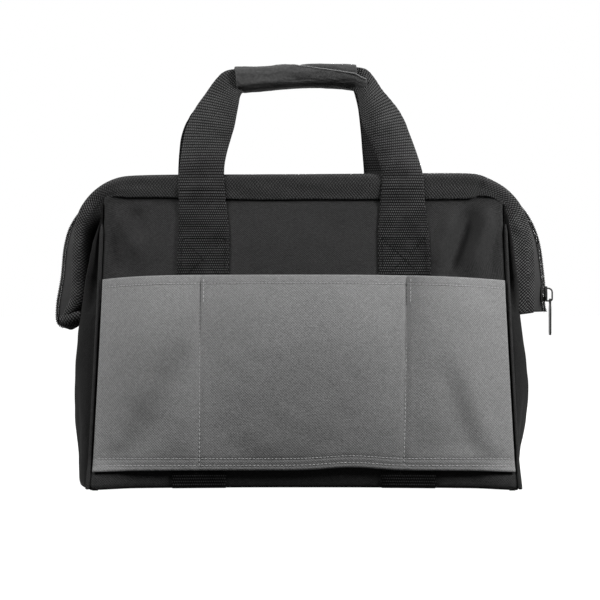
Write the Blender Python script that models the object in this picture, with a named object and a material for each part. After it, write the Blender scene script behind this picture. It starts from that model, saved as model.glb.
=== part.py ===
"""A soft tool bag with a wire framed, zipped mouth, two joined carrying handles and outside pockets.

Metres, +Z up. The origin is the centre of the underside, X runs along the length of the bag and the
front faces -Y. Cloth walls are thin closed solids, and layers that lie on each other keep a small gap.
The front and the back half of the bag are built by the same functions: depth counts from the middle
plane outwards, and side is -1 for the front half and +1 for the back half.
"""

import math

import bmesh
import bpy
from mathutils import Vector

# Gaps between neighbours
GAP = 0.0003
LAYER_GAP = 0.0006
OVERRUN = 0.010

# Cloth and webbing
WALL = 0.003
FOLD_WALL = 0.0012
BASE_SHEET = 0.004
POCKET_SHEET = 0.0016
STRAP = 0.0016
BAND = 0.0013
TAPE = 0.0008

# Mouth frame
HALF_LENGTH = 0.200
MOUTH_TOP = 0.3036
EAR_OVERHANG = 0.0325
EAR_FOOT = 0.158
MOUTH_CORNER_RUN = 0.0675
MOUTH_CORNER_DROP = 0.0936
BAND_DEPTH_TOP = 0.0130
BAND_DEPTH_EAR = 0.0085
BAND_TILT = math.radians(45)
BAND_TURN_START = math.radians(30)
BAND_WIDTH = 0.025
BAND_CORNER_WIDTH = 0.0105
BAND_HOLD = 0.003
WIRE_RADIUS = 0.0020
WIRE_END_SETBACK = 0.0012
PIVOT_ABOVE_FOOT = 0.002
MOUTH_EAR = HALF_LENGTH + EAR_OVERHANG
MOUTH_CORNER_X = MOUTH_EAR - MOUTH_CORNER_RUN
MOUTH_CORNER_Z = MOUTH_TOP - MOUTH_CORNER_DROP
PIVOT_HEIGHT = EAR_FOOT + PIVOT_ABOVE_FOOT

# Main panels
BASE_DEPTH = 0.100
BASE_CORNER_FLARE = 0.013
PANEL_BELOW_MOUTH = 0.027
PANEL_TOP_DROP = 0.001
PANEL_SPLIT_BELOW_MOUTH = 0.1136
MIDDLE_POWER = 2.17
SEAM_POWER = 1.15
ACROSS_POWER = 2.4
BASE_CORNER_DEPTH = BASE_DEPTH + BASE_CORNER_FLARE
RIM_DEPTH = BAND_DEPTH_TOP + WALL / 2 + GAP
PANEL_TOP = MOUTH_TOP - PANEL_BELOW_MOUTH
PANEL_SPLIT = MOUTH_TOP - PANEL_SPLIT_BELOW_MOUTH

# End panels
GUSSET_BASE_BULGE = 0.007
GUSSET_PEAK_BULGE = 0.028
GUSSET_PEAK_HEIGHT = 0.105
GUSSET_SPLIT_BELOW_EAR = 0.033
GUSSET_POWER = 2.2
FOLD_JOINED_BELOW_EAR = 0.015
FOLD_SPLIT_BELOW_EAR = 0.003
FOLD_SEAM_BELOW_MOUTH = 0.0396
FOLD_TOP_TURN = math.radians(48)
FOLD_RIDGE_OUT = 0.0145
FOLD_RIDGE_HEIGHT = 0.064
FOLD_RIDGE_POWER = 1.1
GUSSET_SPLIT = EAR_FOOT - GUSSET_SPLIT_BELOW_EAR
FOLD_JOINED_TOP = EAR_FOOT - FOLD_JOINED_BELOW_EAR
FOLD_SPLIT_START = EAR_FOOT - FOLD_SPLIT_BELOW_EAR
FOLD_SEAM_TOP = MOUTH_TOP - FOLD_SEAM_BELOW_MOUTH

# Base
BOARD = 0.0025
BOARD_CLEARANCE = 0.0008

# Seam piping
PIPING_RADIUS = 0.0021
PIPING_OUT = 0.0006
PIPING_ABOVE_BASE = 0.0005
PIPING_BELOW_MOUTH = 0.0501
PIPING_FOOT = BASE_SHEET + PIPING_ABOVE_BASE
PIPING_TOP = MOUTH_TOP - PIPING_BELOW_MOUTH

# Webbing straps
STRAP_WIDTH = 0.050
STRAP_OFFSET = 0.099
BACK_STRAP_SHIFT = -0.007
STRAP_BASE_RISE = 0.016

# Outside pockets
POCKET_FOOT = 0.018
POCKET_BELOW_MOUTH = 0.1006
POCKET_EDGE_SETBACK = 0.0015
POCKET_DIVIDER_PAST_STRAP = 0.001
POCKET_BULGE = 0.013
POCKET_TOP = MOUTH_TOP - POCKET_BELOW_MOUTH
POCKET_DIVIDER = STRAP_OFFSET + POCKET_DIVIDER_PAST_STRAP

# Zip
COIL_BELOW_MOUTH = 0.0041
COIL_BEYOND_EAR = 0.0115
COIL_CORNER_RUN = 0.084
COIL_CORNER_DROP = 0.0945
COIL_ABOVE_FOOT = 0.0045
COIL_WIDTH = 0.0033
COIL_HEIGHT = 0.0026
COIL_SPREAD = 0.0024
TAPE_UNDER_BAND = 0.007
TAPE_LEAVES_TOP = 0.0055
TAPE_LEAVES_EAR = -0.0005
STOP_LENGTH = 0.004
STOP_WALL = 0.0006
COIL_TOP = MOUTH_TOP - COIL_BELOW_MOUTH
COIL_EAR = MOUTH_EAR + COIL_BEYOND_EAR
COIL_CORNER_X = COIL_EAR - COIL_CORNER_RUN
COIL_CORNER_Z = COIL_TOP - COIL_CORNER_DROP
COIL_FOOT = EAR_FOOT + COIL_ABOVE_FOOT

# Slider and puller
SLIDER_LENGTH = 0.015
SLIDER_WIDTH = 0.0125
SLIDER_INNER_WIDTH = 0.0070
SLIDER_PLATE = 0.0013
SLIDER_ABOVE_COIL_FOOT = 0.015
SLIDER_POST_LENGTH = 0.0045
SLIDER_POST_WIDTH = 0.0022
BAIL_REACH = 0.0058
BAIL_LENGTH = 0.0128
BAIL_WIRE = 0.0008
BAIL_BEND = 0.0022
BAIL_SHOULDER = 0.0040
BAIL_FROM_TOP = 0.0020
PULLER = 0.0015
PULLER_WIDTH = 0.0085
PULLER_NECK = 0.0058
PULLER_LENGTH = 0.0370
PULLER_EYE_WIDTH = 0.0034
PULLER_EYE_LENGTH = 0.0042
PULLER_EYE_WALL = 0.0010
PULLER_EYE_PLAY = 0.0005
SLIDER_FOOT = COIL_FOOT + SLIDER_ABOVE_COIL_FOOT

# Handles
HANDLE_RISE = 0.0985
GRIP_STRAP_WIDTH = 0.0180
GRIP_STRAP = 0.0034
GRIP_STRAP_DEPTH = 0.0045
GRIP_WALL = 0.0022
GRIP_HALF_DEPTH = 0.0130
GRIP_HALF_HEIGHT = 0.0126
GRIP_FLAP_EDGE = math.radians(50)
GRIP_FLAP_HINGE = math.radians(-122)
GRIP_FLAP_GAP = math.radians(4)
GRIP_CORNER_POWER = 3.2
grip_left_share = -0.687
grip_right_share = 0.540
GRIP_LEFT = STRAP_OFFSET * grip_left_share
GRIP_RIGHT = STRAP_OFFSET * grip_right_share

# The line that a handle follows, from its left foot to its right foot, as shares of STRAP_OFFSET along X
# and of HANDLE_RISE above the mouth, with the share of the strap's folding from flat to doubled
handle_line_shares = [
    (-1.000, 0.000, 0.00), (-1.000, 0.150, 0.00), (-0.995, 0.290, 0.04), (-0.965, 0.440, 0.10),
    (-0.917, 0.620, 0.24), (-0.860, 0.790, 0.50), (-0.790, 0.915, 0.85), (-0.700, 0.985, 1.00),
    (-0.450, 1.000, 1.00), (-0.200, 1.014, 1.00), (0.050, 1.018, 1.00), (0.300, 1.010, 1.00),
    (0.480, 1.000, 1.00), (0.590, 0.975, 0.97), (0.670, 0.910, 0.80), (0.725, 0.810, 0.58),
    (0.760, 0.700, 0.36),
    (0.785, 0.600, 0.20), (0.835, 0.460, 0.08), (0.900, 0.320, 0.02), (0.970, 0.180, 0.00),
    (0.994, 0.090, 0.00), (1.000, 0.000, 0.00),
]

# Detail of the meshes
PANEL_COLUMNS = 14
PANEL_ROWS = 7
TOP_ROWS = 6
GUSSET_COLUMNS = 12
GUSSET_ROWS = 6
FOLD_COLUMNS = 9
FOLD_EAR_ROWS = 4
FOLD_TURN_ROWS = 4
POCKET_COLUMNS = 6
POCKET_ROWS = 8
STRAP_COLUMNS = 4
STRAP_ROWS = 8
MOUTH_TOP_STEPS = 4
MOUTH_TURN_STEPS = 10
MOUTH_EAR_STEPS = 4
HANDLE_STEPS = 3
GRIP_STEPS = 6
GRIP_ARC_STEPS = 8
ROUND_STEPS = 6
PIPING_STEPS = 12
BAIL_STEPS = 4

# Colour, roughness and metallic value of each material
FINISHES = {
    "body_cloth": ((0.030, 0.030, 0.031), 0.85, 0.0),
    "pocket_cloth": ((0.170, 0.170, 0.172), 0.85, 0.0),
    "webbing": ((0.040, 0.040, 0.041), 0.75, 0.0),
    "base_board": ((0.020, 0.020, 0.020), 0.60, 0.0),
    "steel_wire": ((0.550, 0.550, 0.560), 0.35, 1.0),
    "zip_tape": ((0.045, 0.045, 0.046), 0.80, 0.0),
    "zip_coil": ((0.015, 0.015, 0.015), 0.45, 0.0),
    "slider_metal": ((0.030, 0.030, 0.032), 0.35, 0.6),
    "grip_cloth": ((0.035, 0.035, 0.036), 0.80, 0.0),
}

MIDDLE = Vector((0, 0, 0))
FRONT, BACK = -1, 1
LEFT, RIGHT = -1, 1


# Scene helpers

def clear_scene():
    for old in list(bpy.data.objects):
        bpy.data.objects.remove(old, do_unlink=True)


def material(name):
    made = bpy.data.materials.get(name) or bpy.data.materials.new(name)
    made.use_nodes = True
    shader = made.node_tree.nodes["Principled BSDF"]
    colour, roughness, metallic = FINISHES[name]
    shader.inputs["Base Color"].default_value = (*colour, 1)
    shader.inputs["Roughness"].default_value = roughness
    shader.inputs["Metallic"].default_value = metallic
    return made


def place(name, bm, finish, origin=MIDDLE):
    """An object with its origin at that point, from a mesh drawn in the bag's own frame."""
    bmesh.ops.recalc_face_normals(bm, faces=bm.faces)
    bmesh.ops.translate(bm, verts=bm.verts, vec=-Vector(origin))
    mesh = bpy.data.meshes.new(name)
    bm.to_mesh(mesh)
    bm.free()
    mesh.shade_smooth()
    mesh.set_sharp_from_angle(angle=math.radians(40))
    made = bpy.data.objects.new(name, mesh)
    made.location = origin
    bpy.context.scene.collection.objects.link(made)
    made.data.materials.append(material(finish))
    return made


def sheet(name, outer, inner, finish, origin=MIDDLE):
    """A closed solid between two grids of points with the same rows and columns."""
    bm = bmesh.new()
    rows, columns = len(outer), len(outer[0])
    top = [[bm.verts.new(p) for p in row] for row in outer]
    low = [[bm.verts.new(p) for p in row] for row in inner]
    for r in range(rows - 1):
        for c in range(columns - 1):
            bm.faces.new((top[r][c], top[r][c + 1], top[r + 1][c + 1], top[r + 1][c]))
            bm.faces.new((low[r][c], low[r + 1][c], low[r + 1][c + 1], low[r][c + 1]))
    rim = [(0, c) for c in range(columns)]
    rim += [(r, columns - 1) for r in range(1, rows)]
    rim += [(rows - 1, c) for c in range(columns - 2, -1, -1)]
    rim += [(r, 0) for r in range(rows - 2, 0, -1)]
    for (r, c), (s, d) in zip(rim, rim[1:] + rim[:1]):
        bm.faces.new((top[r][c], low[r][c], low[s][d], top[s][d]))
    return place(name, bm, finish, origin)


def sweep(name, sections, finish, origin=MIDDLE):
    """A closed solid through a row of like sections, with flat ends."""
    bm = bmesh.new()
    rings = [[bm.verts.new(p) for p in section] for section in sections]
    count = len(rings[0])
    for low, high in zip(rings, rings[1:]):
        for i in range(count):
            j = (i + 1) % count
            bm.faces.new((low[i], low[j], high[j], high[i]))
    bm.faces.new(list(reversed(rings[0])))
    bm.faces.new(rings[-1])
    return place(name, bm, finish, origin)


def prism(name, outline, low, high, finish):
    """An outline of (x, y) points drawn up from one height to another."""
    sections = [[Vector((x, y, z)) for x, y in outline] for z in (low, high)]
    return sweep(name, sections, finish)


def cutter(made):
    made.hide_render = True
    made.display_type = "WIRE"
    return made


def boolean(target, other, operation):
    made = target.modifiers.new(operation.lower(), "BOOLEAN")
    made.operation = operation
    made.solver = "EXACT"
    made.object = other


def box_sections(low, high):
    """Two sections along Z of the box between two corners."""
    outline = [(low[0], low[1]), (high[0], low[1]), (high[0], high[1]), (low[0], high[1])]
    return [[Vector((x, y, z)) for x, y in outline] for z in (low[2], high[2])]


# Sums

def spread(low, high, steps):
    return [low + (high - low) * i / steps for i in range(steps + 1)]


def mix(a, b, share):
    return a + (b - a) * share


def smooth(share):
    share = min(max(share, 0.0), 1.0)
    return share * share * (3 - 2 * share)


def curve_through(points, steps):
    """Points on a smooth curve through the given ones, with so many steps from one to the next."""
    ends = [points[0] * 2 - points[1], *points, points[-1] * 2 - points[-2]]
    made = []
    for a, b, c, d in zip(ends, ends[1:], ends[2:], ends[3:]):
        for i in range(steps):
            t = i / steps
            made.append(
                (b * 2 + (c - a) * t + (a * 2 - b * 5 + c * 4 - d) * t * t
                 + (b * 3 - a - c * 3 + d) * t ** 3) / 2
            )
    made.append(points[-1].copy())
    return made


def thicken(grid, thickness):
    """The two faces of a cloth of that thickness whose middle is the grid."""
    rows, columns = len(grid), len(grid[0])
    outer, inner = [], []
    for r in range(rows):
        outer.append([])
        inner.append([])
        for c in range(columns):
            along = grid[r][min(c + 1, columns - 1)] - grid[r][max(c - 1, 0)]
            up = grid[min(r + 1, rows - 1)][c] - grid[max(r - 1, 0)][c]
            normal = along.cross(up).normalized()
            outer[-1].append(grid[r][c] + normal * thickness / 2)
            inner[-1].append(grid[r][c] - normal * thickness / 2)
    return outer, inner


def ring(centre, across, over, radius):
    """A round section about a centre, in the plane of two directions."""
    turns = [math.tau * i / ROUND_STEPS for i in range(ROUND_STEPS)]
    return [centre + (across * math.cos(a) + over * math.sin(a)) * radius for a in turns]


# Shape of the body

def panel_top(x):
    """Height at which a main panel meets the mouth binding."""
    beyond = max(0.0, abs(x) - MOUTH_CORNER_X) / (HALF_LENGTH - MOUTH_CORNER_X)
    return PANEL_TOP - PANEL_TOP_DROP * beyond ** 2


def panel_depth(x, z):
    """Distance from the middle plane to the outer face of a main panel."""
    share = min(1.0, z / panel_top(x))
    middle = RIM_DEPTH + (BASE_DEPTH - RIM_DEPTH) * (1 - share ** MIDDLE_POWER)
    seam = RIM_DEPTH + (BASE_CORNER_DEPTH - RIM_DEPTH) * (1 - share) ** SEAM_POWER
    return mix(middle, seam, min(1.0, abs(x) / HALF_LENGTH) ** ACROSS_POWER)


def seam_depth(z):
    return panel_depth(HALF_LENGTH, z)


def gusset_bulge(z):
    away = (z - GUSSET_PEAK_HEIGHT) / GUSSET_PEAK_HEIGHT
    return mix(GUSSET_BASE_BULGE, GUSSET_PEAK_BULGE, 1 - away ** 2)


def gusset_out(y, z):
    """Distance from the middle of the bag to the outer face of an end panel."""
    share = min(1.0, abs(y) / seam_depth(z))
    return HALF_LENGTH + gusset_bulge(z) * (1 - share ** GUSSET_POWER)


def gusset_edge(z):
    """Depth at which an end panel starts, just behind the main panel's inner face."""
    return min(panel_depth(HALF_LENGTH - WALL, z), seam_depth(z)) - WALL - GAP


# Base

def outline_round(front_depth, side_out, corner_x, corner_y):
    """A closed outline: depth along the front and back, reach along the two ends."""
    front_x = spread(-corner_x, corner_x, PANEL_COLUMNS)
    side_y = spread(-corner_y, corner_y, GUSSET_COLUMNS)[1:-1]
    outline = [(x, -front_depth(x)) for x in front_x]
    outline += [(side_out(y), y) for y in side_y]
    outline += [(x, front_depth(x)) for x in reversed(front_x)]
    outline += [(-side_out(y), y) for y in reversed(side_y)]
    return outline


def strap_x(corner, depth_share):
    """Middle of a strap: the back straps are sewn a little further left than the front ones."""
    return corner * STRAP_OFFSET + BACK_STRAP_SHIFT * (1 + depth_share) / 2


def bottom_panel():
    outline = outline_round(
        lambda x: panel_depth(x, 0), lambda y: gusset_out(y, 0), HALF_LENGTH, seam_depth(0)
    )
    made = prism("bottom_panel", outline, 0, BASE_SHEET, "body_cloth")
    reach = BASE_CORNER_DEPTH + OVERRUN
    for corner, name in ((LEFT, "left_groove"), (RIGHT, "right_groove")):
        half = STRAP_WIDTH / 2 + GAP
        sections = []
        for side in (FRONT, BACK):
            x, y = strap_x(corner, side * reach / BASE_DEPTH), side * reach
            sections.append([
                Vector((x - half, y, -OVERRUN)), Vector((x + half, y, -OVERRUN)),
                Vector((x + half, y, STRAP + GAP)), Vector((x - half, y, STRAP + GAP)),
            ])
        boolean(made, cutter(sweep(name, sections, "webbing")), "DIFFERENCE")


def base_board():
    low = BASE_SHEET + GAP
    top = low + BOARD
    inside = WALL + BOARD_CLEARANCE
    outline = outline_round(
        lambda x: panel_depth(x, top) - inside,
        lambda y: gusset_out(y, low) - inside,
        HALF_LENGTH - inside,
        seam_depth(top) - inside - BOARD_CLEARANCE,
    )
    prism("base_board", outline, low, top, "base_board")


# Walls

def panel_grid(side, heights, inset, columns):
    """Rows of points on a main panel's outer face, moved in by inset, from one seam to the other."""
    reach = HALF_LENGTH - GAP
    return [
        [Vector((x, side * (panel_depth(x, height(x)) - inset), height(x)))
         for x in spread(-reach, reach, columns)]
        for height in heights
    ]


def main_panel(side, name):
    heights = [lambda x, z=z: z for z in spread(BASE_SHEET + GAP, PANEL_SPLIT, PANEL_ROWS)]
    outer = panel_grid(side, heights, 0, PANEL_COLUMNS)
    inner = panel_grid(side, heights, WALL, PANEL_COLUMNS)
    sheet(name, outer, inner, "body_cloth")


def held_edge(x):
    """Height of a main panel's upper edge inside the binding, just under the wire."""
    beyond = max(0.0, abs(x) - MOUTH_CORNER_X) / (MOUTH_EAR - MOUTH_CORNER_X)
    outer = MOUTH_CORNER_Z + (MOUTH_TOP - MOUTH_CORNER_Z) * math.sqrt(1 - beyond ** 2)
    under_wire = band_half() + WIRE_RADIUS + LAYER_GAP
    return outer - under_wire * (1 + beyond)


def upper_panel(side, name):
    """The part of a main panel that folds when the mouth opens."""
    low = PANEL_SPLIT + GAP
    heights = [
        lambda x, s=s: mix(low, panel_top(x), s) for s in spread(0, 1, TOP_ROWS)
    ] + [held_edge]
    outer = panel_grid(side, heights, 0, PANEL_COLUMNS)
    inner = panel_grid(side, heights, WALL, PANEL_COLUMNS)
    sheet(name, outer, inner, "body_cloth")


def end_panel(end, name):
    outer, inner = [], []
    for z in spread(BASE_SHEET + GAP, GUSSET_SPLIT, GUSSET_ROWS):
        edge = gusset_edge(z)
        ys = spread(-edge, edge, GUSSET_COLUMNS)
        outer.append([Vector((end * gusset_out(y, z), y, z)) for y in ys])
        inner.append([Vector((end * (gusset_out(y, z) - WALL), y, z)) for y in ys])
    sheet(name, outer, inner, "body_cloth")


def ridge_out(z):
    """How far the folded end panel stands out of the straight line to the binding."""
    share = 1 - (z - EAR_FOOT) / FOLD_RIDGE_HEIGHT
    return FOLD_RIDGE_OUT * min(1.0, max(0.0, share)) ** FOLD_RIDGE_POWER


def fold_row(end, side, seam_z, held):
    """One row of a folded end panel: from the seam out to a ridge and back into the mouth binding."""
    mouth, inside, inward = held
    start = Vector((end * (HALF_LENGTH + GAP), side * (gusset_edge(seam_z) - FOLD_WALL), seam_z))
    lip = mouth + inward * BAND_HOLD
    ridge = start.lerp(lip, 0.5) + Vector((end * ridge_out(mouth.z), 0, 0))
    return resample([start, ridge, lip, mouth, inside], FOLD_COLUMNS)


def resample(points, count):
    """So many evenly spaced steps along the smooth curve through the points."""
    line = curve_through(points, FOLD_COLUMNS)
    lengths = [0.0]
    for a, b in zip(line, line[1:]):
        lengths.append(lengths[-1] + (b - a).length)
    made, i = [], 0
    for want in spread(0, lengths[-1], count):
        while i < len(line) - 2 and lengths[i + 1] < want:
            i += 1
        share = (want - lengths[i]) / (lengths[i + 1] - lengths[i])
        made.append(line[i].lerp(line[i + 1], min(1.0, share)))
    return made


def gusset_fold(end, side, name):
    """A quarter of the folding part of the end panels, between its seam, the other half and the binding."""
    grid = []
    inset = FOLD_WALL / 2
    for z in spread(GUSSET_SPLIT + GAP, FOLD_JOINED_TOP, 2):
        ys = spread(side * gusset_edge(z), side * GAP / 2, FOLD_COLUMNS)
        grid.append([Vector((end * (gusset_out(y, z) - inset), y, z)) for y in ys])
    stations = ear_stations(end, side)
    low, high = stations[0][0].z, stations[-1][0].z
    for held in stations:
        seam_z = mix(FOLD_SPLIT_START, FOLD_SEAM_TOP, (held[0].z - low) / (high - low))
        grid.append(fold_row(end, side, seam_z, held))
    outer, inner = thicken(grid, FOLD_WALL)
    sheet(name, outer, inner, "body_cloth")


def piping(end, side, name):
    """The round cord sewn into a side seam."""
    sections = []
    for z in spread(PIPING_FOOT, PIPING_TOP, PIPING_STEPS):
        x = end * (HALF_LENGTH + PIPING_RADIUS + GAP)
        centre = Vector((x, side * (seam_depth(z) + PIPING_OUT), z))
        sections.append(ring(centre, Vector((1, 0, 0)), Vector((0, 1, 0)), PIPING_RADIUS))
    sweep(name, sections, "body_cloth")


# Pockets

def pocket_standoff(x, z):
    """Gap between a main panel and the pocket sheet, which stands open between its sewn lines."""
    sewn = 2 * LAYER_GAP + STRAP
    edge = HALF_LENGTH - POCKET_EDGE_SETBACK
    if abs(x) < POCKET_DIVIDER:
        share = (x + POCKET_DIVIDER) / (2 * POCKET_DIVIDER)
    else:
        share = (abs(x) - POCKET_DIVIDER) / (edge - POCKET_DIVIDER)
    up = smooth((z - POCKET_FOOT) / (POCKET_TOP - POCKET_FOOT))
    return sewn + POCKET_BULGE * up * abs(math.sin(math.pi * share)) ** 0.7


def pocket(side, name):
    edge = HALF_LENGTH - POCKET_EDGE_SETBACK
    xs = spread(-edge, -POCKET_DIVIDER, POCKET_COLUMNS)[:-1]
    xs += spread(-POCKET_DIVIDER, POCKET_DIVIDER, POCKET_COLUMNS)
    xs += spread(POCKET_DIVIDER, edge, POCKET_COLUMNS)[1:]
    outer, inner = [], []
    for z in spread(POCKET_FOOT, POCKET_TOP, POCKET_ROWS):
        depths = [panel_depth(x, z) + pocket_standoff(x, z) for x in xs]
        inner.append([Vector((x, side * d, z)) for x, d in zip(xs, depths)])
        outer.append([Vector((x, side * (d + POCKET_SHEET), z)) for x, d in zip(xs, depths)])
    sheet(name, outer, inner, "pocket_cloth")


# Straps sewn to the body

def strap_depth(x, z):
    """Inner face of a strap that lies on a main panel and, at the top, on the mouth binding."""
    on_panel = panel_depth(x, z) + LAYER_GAP
    on_band = BAND_DEPTH_TOP + band_half() + LAYER_GAP
    return max(on_panel, on_band)


def strap_sheet(name, corner, side, heights):
    middle = strap_x(corner, side)
    xs = spread(middle - STRAP_WIDTH / 2, middle + STRAP_WIDTH / 2, STRAP_COLUMNS)
    inner = [[Vector((x, side * strap_depth(x, z), z)) for x in xs] for z in heights]
    outer = [[Vector((x, side * (strap_depth(x, z) + STRAP), z)) for x in xs] for z in heights]
    sheet(name, outer, inner, "webbing")


def base_strap(corner, name):
    """The stretch of a strap that passes under the bag and turns up at the front and the back."""
    outer, inner = [], []
    chamfer = STRAP / 2

    def across(depth_share):
        middle = strap_x(corner, depth_share)
        return spread(middle - STRAP_WIDTH / 2, middle + STRAP_WIDTH / 2, STRAP_COLUMNS)

    def upright(side, height, out):
        leaning = height if height > BASE_SHEET else 0
        return [Vector((x, side * (panel_depth(x, leaning) + LAYER_GAP + out), height))
                for x in across(side)]

    turn = [
        (STRAP_BASE_RISE, STRAP_BASE_RISE, STRAP),
        (BASE_SHEET, BASE_SHEET, STRAP),
        (STRAP + GAP + chamfer, chamfer, STRAP),
        (STRAP, 0, chamfer),
    ]
    for inner_height, outer_height, out in turn:
        inner.append(upright(FRONT, inner_height, 0))
        outer.append(upright(FRONT, outer_height, out))
    reach = BASE_DEPTH - 2 * OVERRUN
    for y in spread(-reach, reach, STRAP_COLUMNS):
        inner.append([Vector((x, y, STRAP)) for x in across(y / BASE_DEPTH)])
        outer.append([Vector((x, y, 0)) for x in across(y / BASE_DEPTH)])
    for inner_height, outer_height, out in reversed(turn):
        inner.append(upright(BACK, inner_height, 0))
        outer.append(upright(BACK, outer_height, out))
    sheet(name, outer, inner, "webbing")


# Mouth frame

def band_half():
    """Half of the binding's thickness, which holds the wire between its two layers."""
    return WIRE_RADIUS + GAP + BAND


def half_line(ear, top, corner_x, corner_z, foot):
    """From the middle of the top, round the corner and down the ear: place, inward normal and turn."""
    line = []
    for x in spread(0, corner_x, MOUTH_TOP_STEPS)[:-1]:
        line.append((x, top, 0.0))
    for turn in spread(0, math.pi / 2, MOUTH_TURN_STEPS):
        x = corner_x + (ear - corner_x) * math.sin(turn)
        z = corner_z + (top - corner_z) * math.cos(turn)
        line.append((x, z, turn))
    for z in spread(corner_z, foot, MOUTH_EAR_STEPS)[1:]:
        line.append((ear, z, math.pi / 2))
    made = []
    for x, z, turn in line:
        normal = Vector((-math.sin(turn) / (ear - corner_x), 0, -math.cos(turn) / (top - corner_z)))
        made.append((Vector((x, 0, z)), normal.normalized(), turn))
    return made


def full_line(half):
    """The left half, mirrored, and the right half in one row, from the left ear to the right ear."""
    mirrored = [
        (Vector((-p.x, 0, p.z)), Vector((-n.x, 0, n.z)), turn) for p, n, turn in reversed(half)
    ]
    return mirrored[:-1] + half


def band_line():
    return half_line(MOUTH_EAR, MOUTH_TOP, MOUTH_CORNER_X, MOUTH_CORNER_Z, EAR_FOOT)


def coil_line():
    return half_line(COIL_EAR, COIL_TOP, COIL_CORNER_X, COIL_CORNER_Z, COIL_FOOT)


def turned(turn):
    """How far the binding has turned from facing the front to facing the side."""
    return smooth((turn - BAND_TURN_START) / (math.pi / 2 - BAND_TURN_START))


def band_width(turn):
    return mix(BAND_WIDTH, BAND_CORNER_WIDTH, math.sin(2 * turn) ** 2)


def band_frame(station, side):
    """Outer edge of the binding, the way in from that edge, and the way out of its outer face."""
    place_, normal, turn = station
    tilt = BAND_TILT * turned(turn)
    out = Vector((0, side, 0))
    edge = place_ + out * mix(BAND_DEPTH_TOP, BAND_DEPTH_EAR, turned(turn))
    inward = normal * math.cos(tilt) + out * math.sin(tilt)
    face = out * math.cos(tilt) - normal * math.sin(tilt)
    return edge, inward, face


def ear_stations(end, side):
    """Where an end panel enters the binding, from the ear's foot up to the corner."""
    made = []
    line = half_line(MOUTH_EAR, MOUTH_TOP, MOUTH_CORNER_X, MOUTH_CORNER_Z, EAR_FOOT)
    normal = line[-1][1]
    rows = [(Vector((MOUTH_EAR, 0, z)), normal, math.pi / 2)
            for z in spread(EAR_FOOT, MOUTH_CORNER_Z, FOLD_EAR_ROWS)]
    for turn in spread(math.pi / 2, FOLD_TOP_TURN, FOLD_TURN_ROWS)[1:]:
        x = MOUTH_CORNER_X + (MOUTH_EAR - MOUTH_CORNER_X) * math.sin(turn)
        z = MOUTH_CORNER_Z + (MOUTH_TOP - MOUTH_CORNER_Z) * math.cos(turn)
        slope = Vector((-math.sin(turn) / (MOUTH_EAR - MOUTH_CORNER_X), 0,
                        -math.cos(turn) / (MOUTH_TOP - MOUTH_CORNER_Z)))
        rows.append((Vector((x, 0, z)), slope.normalized(), turn))
    for p, n, turn in rows:
        station = (Vector((end * p.x, 0, p.z)), Vector((end * n.x, 0, n.z)), turn)
        edge, inward, face = band_frame(station, side)
        width = band_width(turn)
        made.append((edge + inward * width, edge + inward * (width - BAND_HOLD), inward))
    return made


def mouth_binding(side, name):
    """Webbing folded over the wire and over the cloth's edge."""
    half = band_half()
    sections = []
    for station in full_line(band_line()):
        edge, inward, face = band_frame(station, side)
        width = band_width(station[2])
        round_ = [math.pi / 2 - math.pi * i / 4 for i in range(5)]
        outside = [(half - half * math.cos(a), half * math.sin(a)) for a in round_]
        hollow = half - BAND
        inside = [(half - hollow * math.cos(a), hollow * math.sin(a)) for a in reversed(round_)]
        loop = [(width, half), *outside, (width, -half), (width, -hollow), *inside, (width, hollow)]
        sections.append([edge + inward * d + face * f for d, f in loop])
    sweep(name, sections, "webbing", pivot())


def mouth_wire(side, name):
    sections = []
    line = full_line(
        half_line(MOUTH_EAR, MOUTH_TOP, MOUTH_CORNER_X, MOUTH_CORNER_Z, EAR_FOOT + WIRE_END_SETBACK)
    )
    for station in line:
        edge, inward, face = band_frame(station, side)
        sections.append(ring(edge + inward * band_half(), inward, face, WIRE_RADIUS))
    sweep(name, sections, "steel_wire", pivot())


def pivot():
    """A point on the line about which both halves of the mouth turn."""
    return Vector((0, 0, PIVOT_HEIGHT))


# Zip

def coil_spread(z, end_x):
    """How far the two coils stand apart below the slider's post, where the zip is not yet joined."""
    if end_x < 0:
        return 0.0
    return COIL_SPREAD * smooth((SLIDER_FOOT + SLIDER_POST_LENGTH * 2 - z) / (SLIDER_POST_LENGTH * 2))


def zip_coil(side, name):
    sections = []
    for centre, normal, turn in full_line(coil_line()):
        on_ear = turn >= math.pi / 2
        apart = coil_spread(centre.z, centre.x) if on_ear else 0.0
        near = side * (GAP + apart)
        far = side * (GAP + COIL_WIDTH + apart)
        high = normal * (-COIL_HEIGHT / 2)
        low = normal * (COIL_HEIGHT / 2)
        sections.append([
            centre + high + Vector((0, near, 0)), centre + high + Vector((0, far, 0)),
            centre + low + Vector((0, far, 0)), centre + low + Vector((0, near, 0)),
        ])
    sweep(name, sections, "zip_coil", pivot())


def zip_tape(side, name):
    grid = []
    for band, coil in zip(full_line(band_line()), full_line(coil_line())):
        edge, inward, face = band_frame(band, side)
        behind = face * (band_half() + LAYER_GAP + TAPE / 2)
        leaves = mix(TAPE_LEAVES_TOP, TAPE_LEAVES_EAR, turned(band[2]))
        apart = coil_spread(coil[0].z, coil[0].x) if coil[2] >= math.pi / 2 else 0.0
        beside = Vector((0, side * (COIL_WIDTH + 2 * GAP + TAPE / 2 + apart), 0))
        grid.append([
            edge + inward * TAPE_UNDER_BAND - behind,
            edge + inward * leaves - behind,
            coil[0] + beside,
        ])
    outer, inner = thicken(grid, TAPE)
    sheet(name, outer, inner, "zip_tape", pivot())


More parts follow.
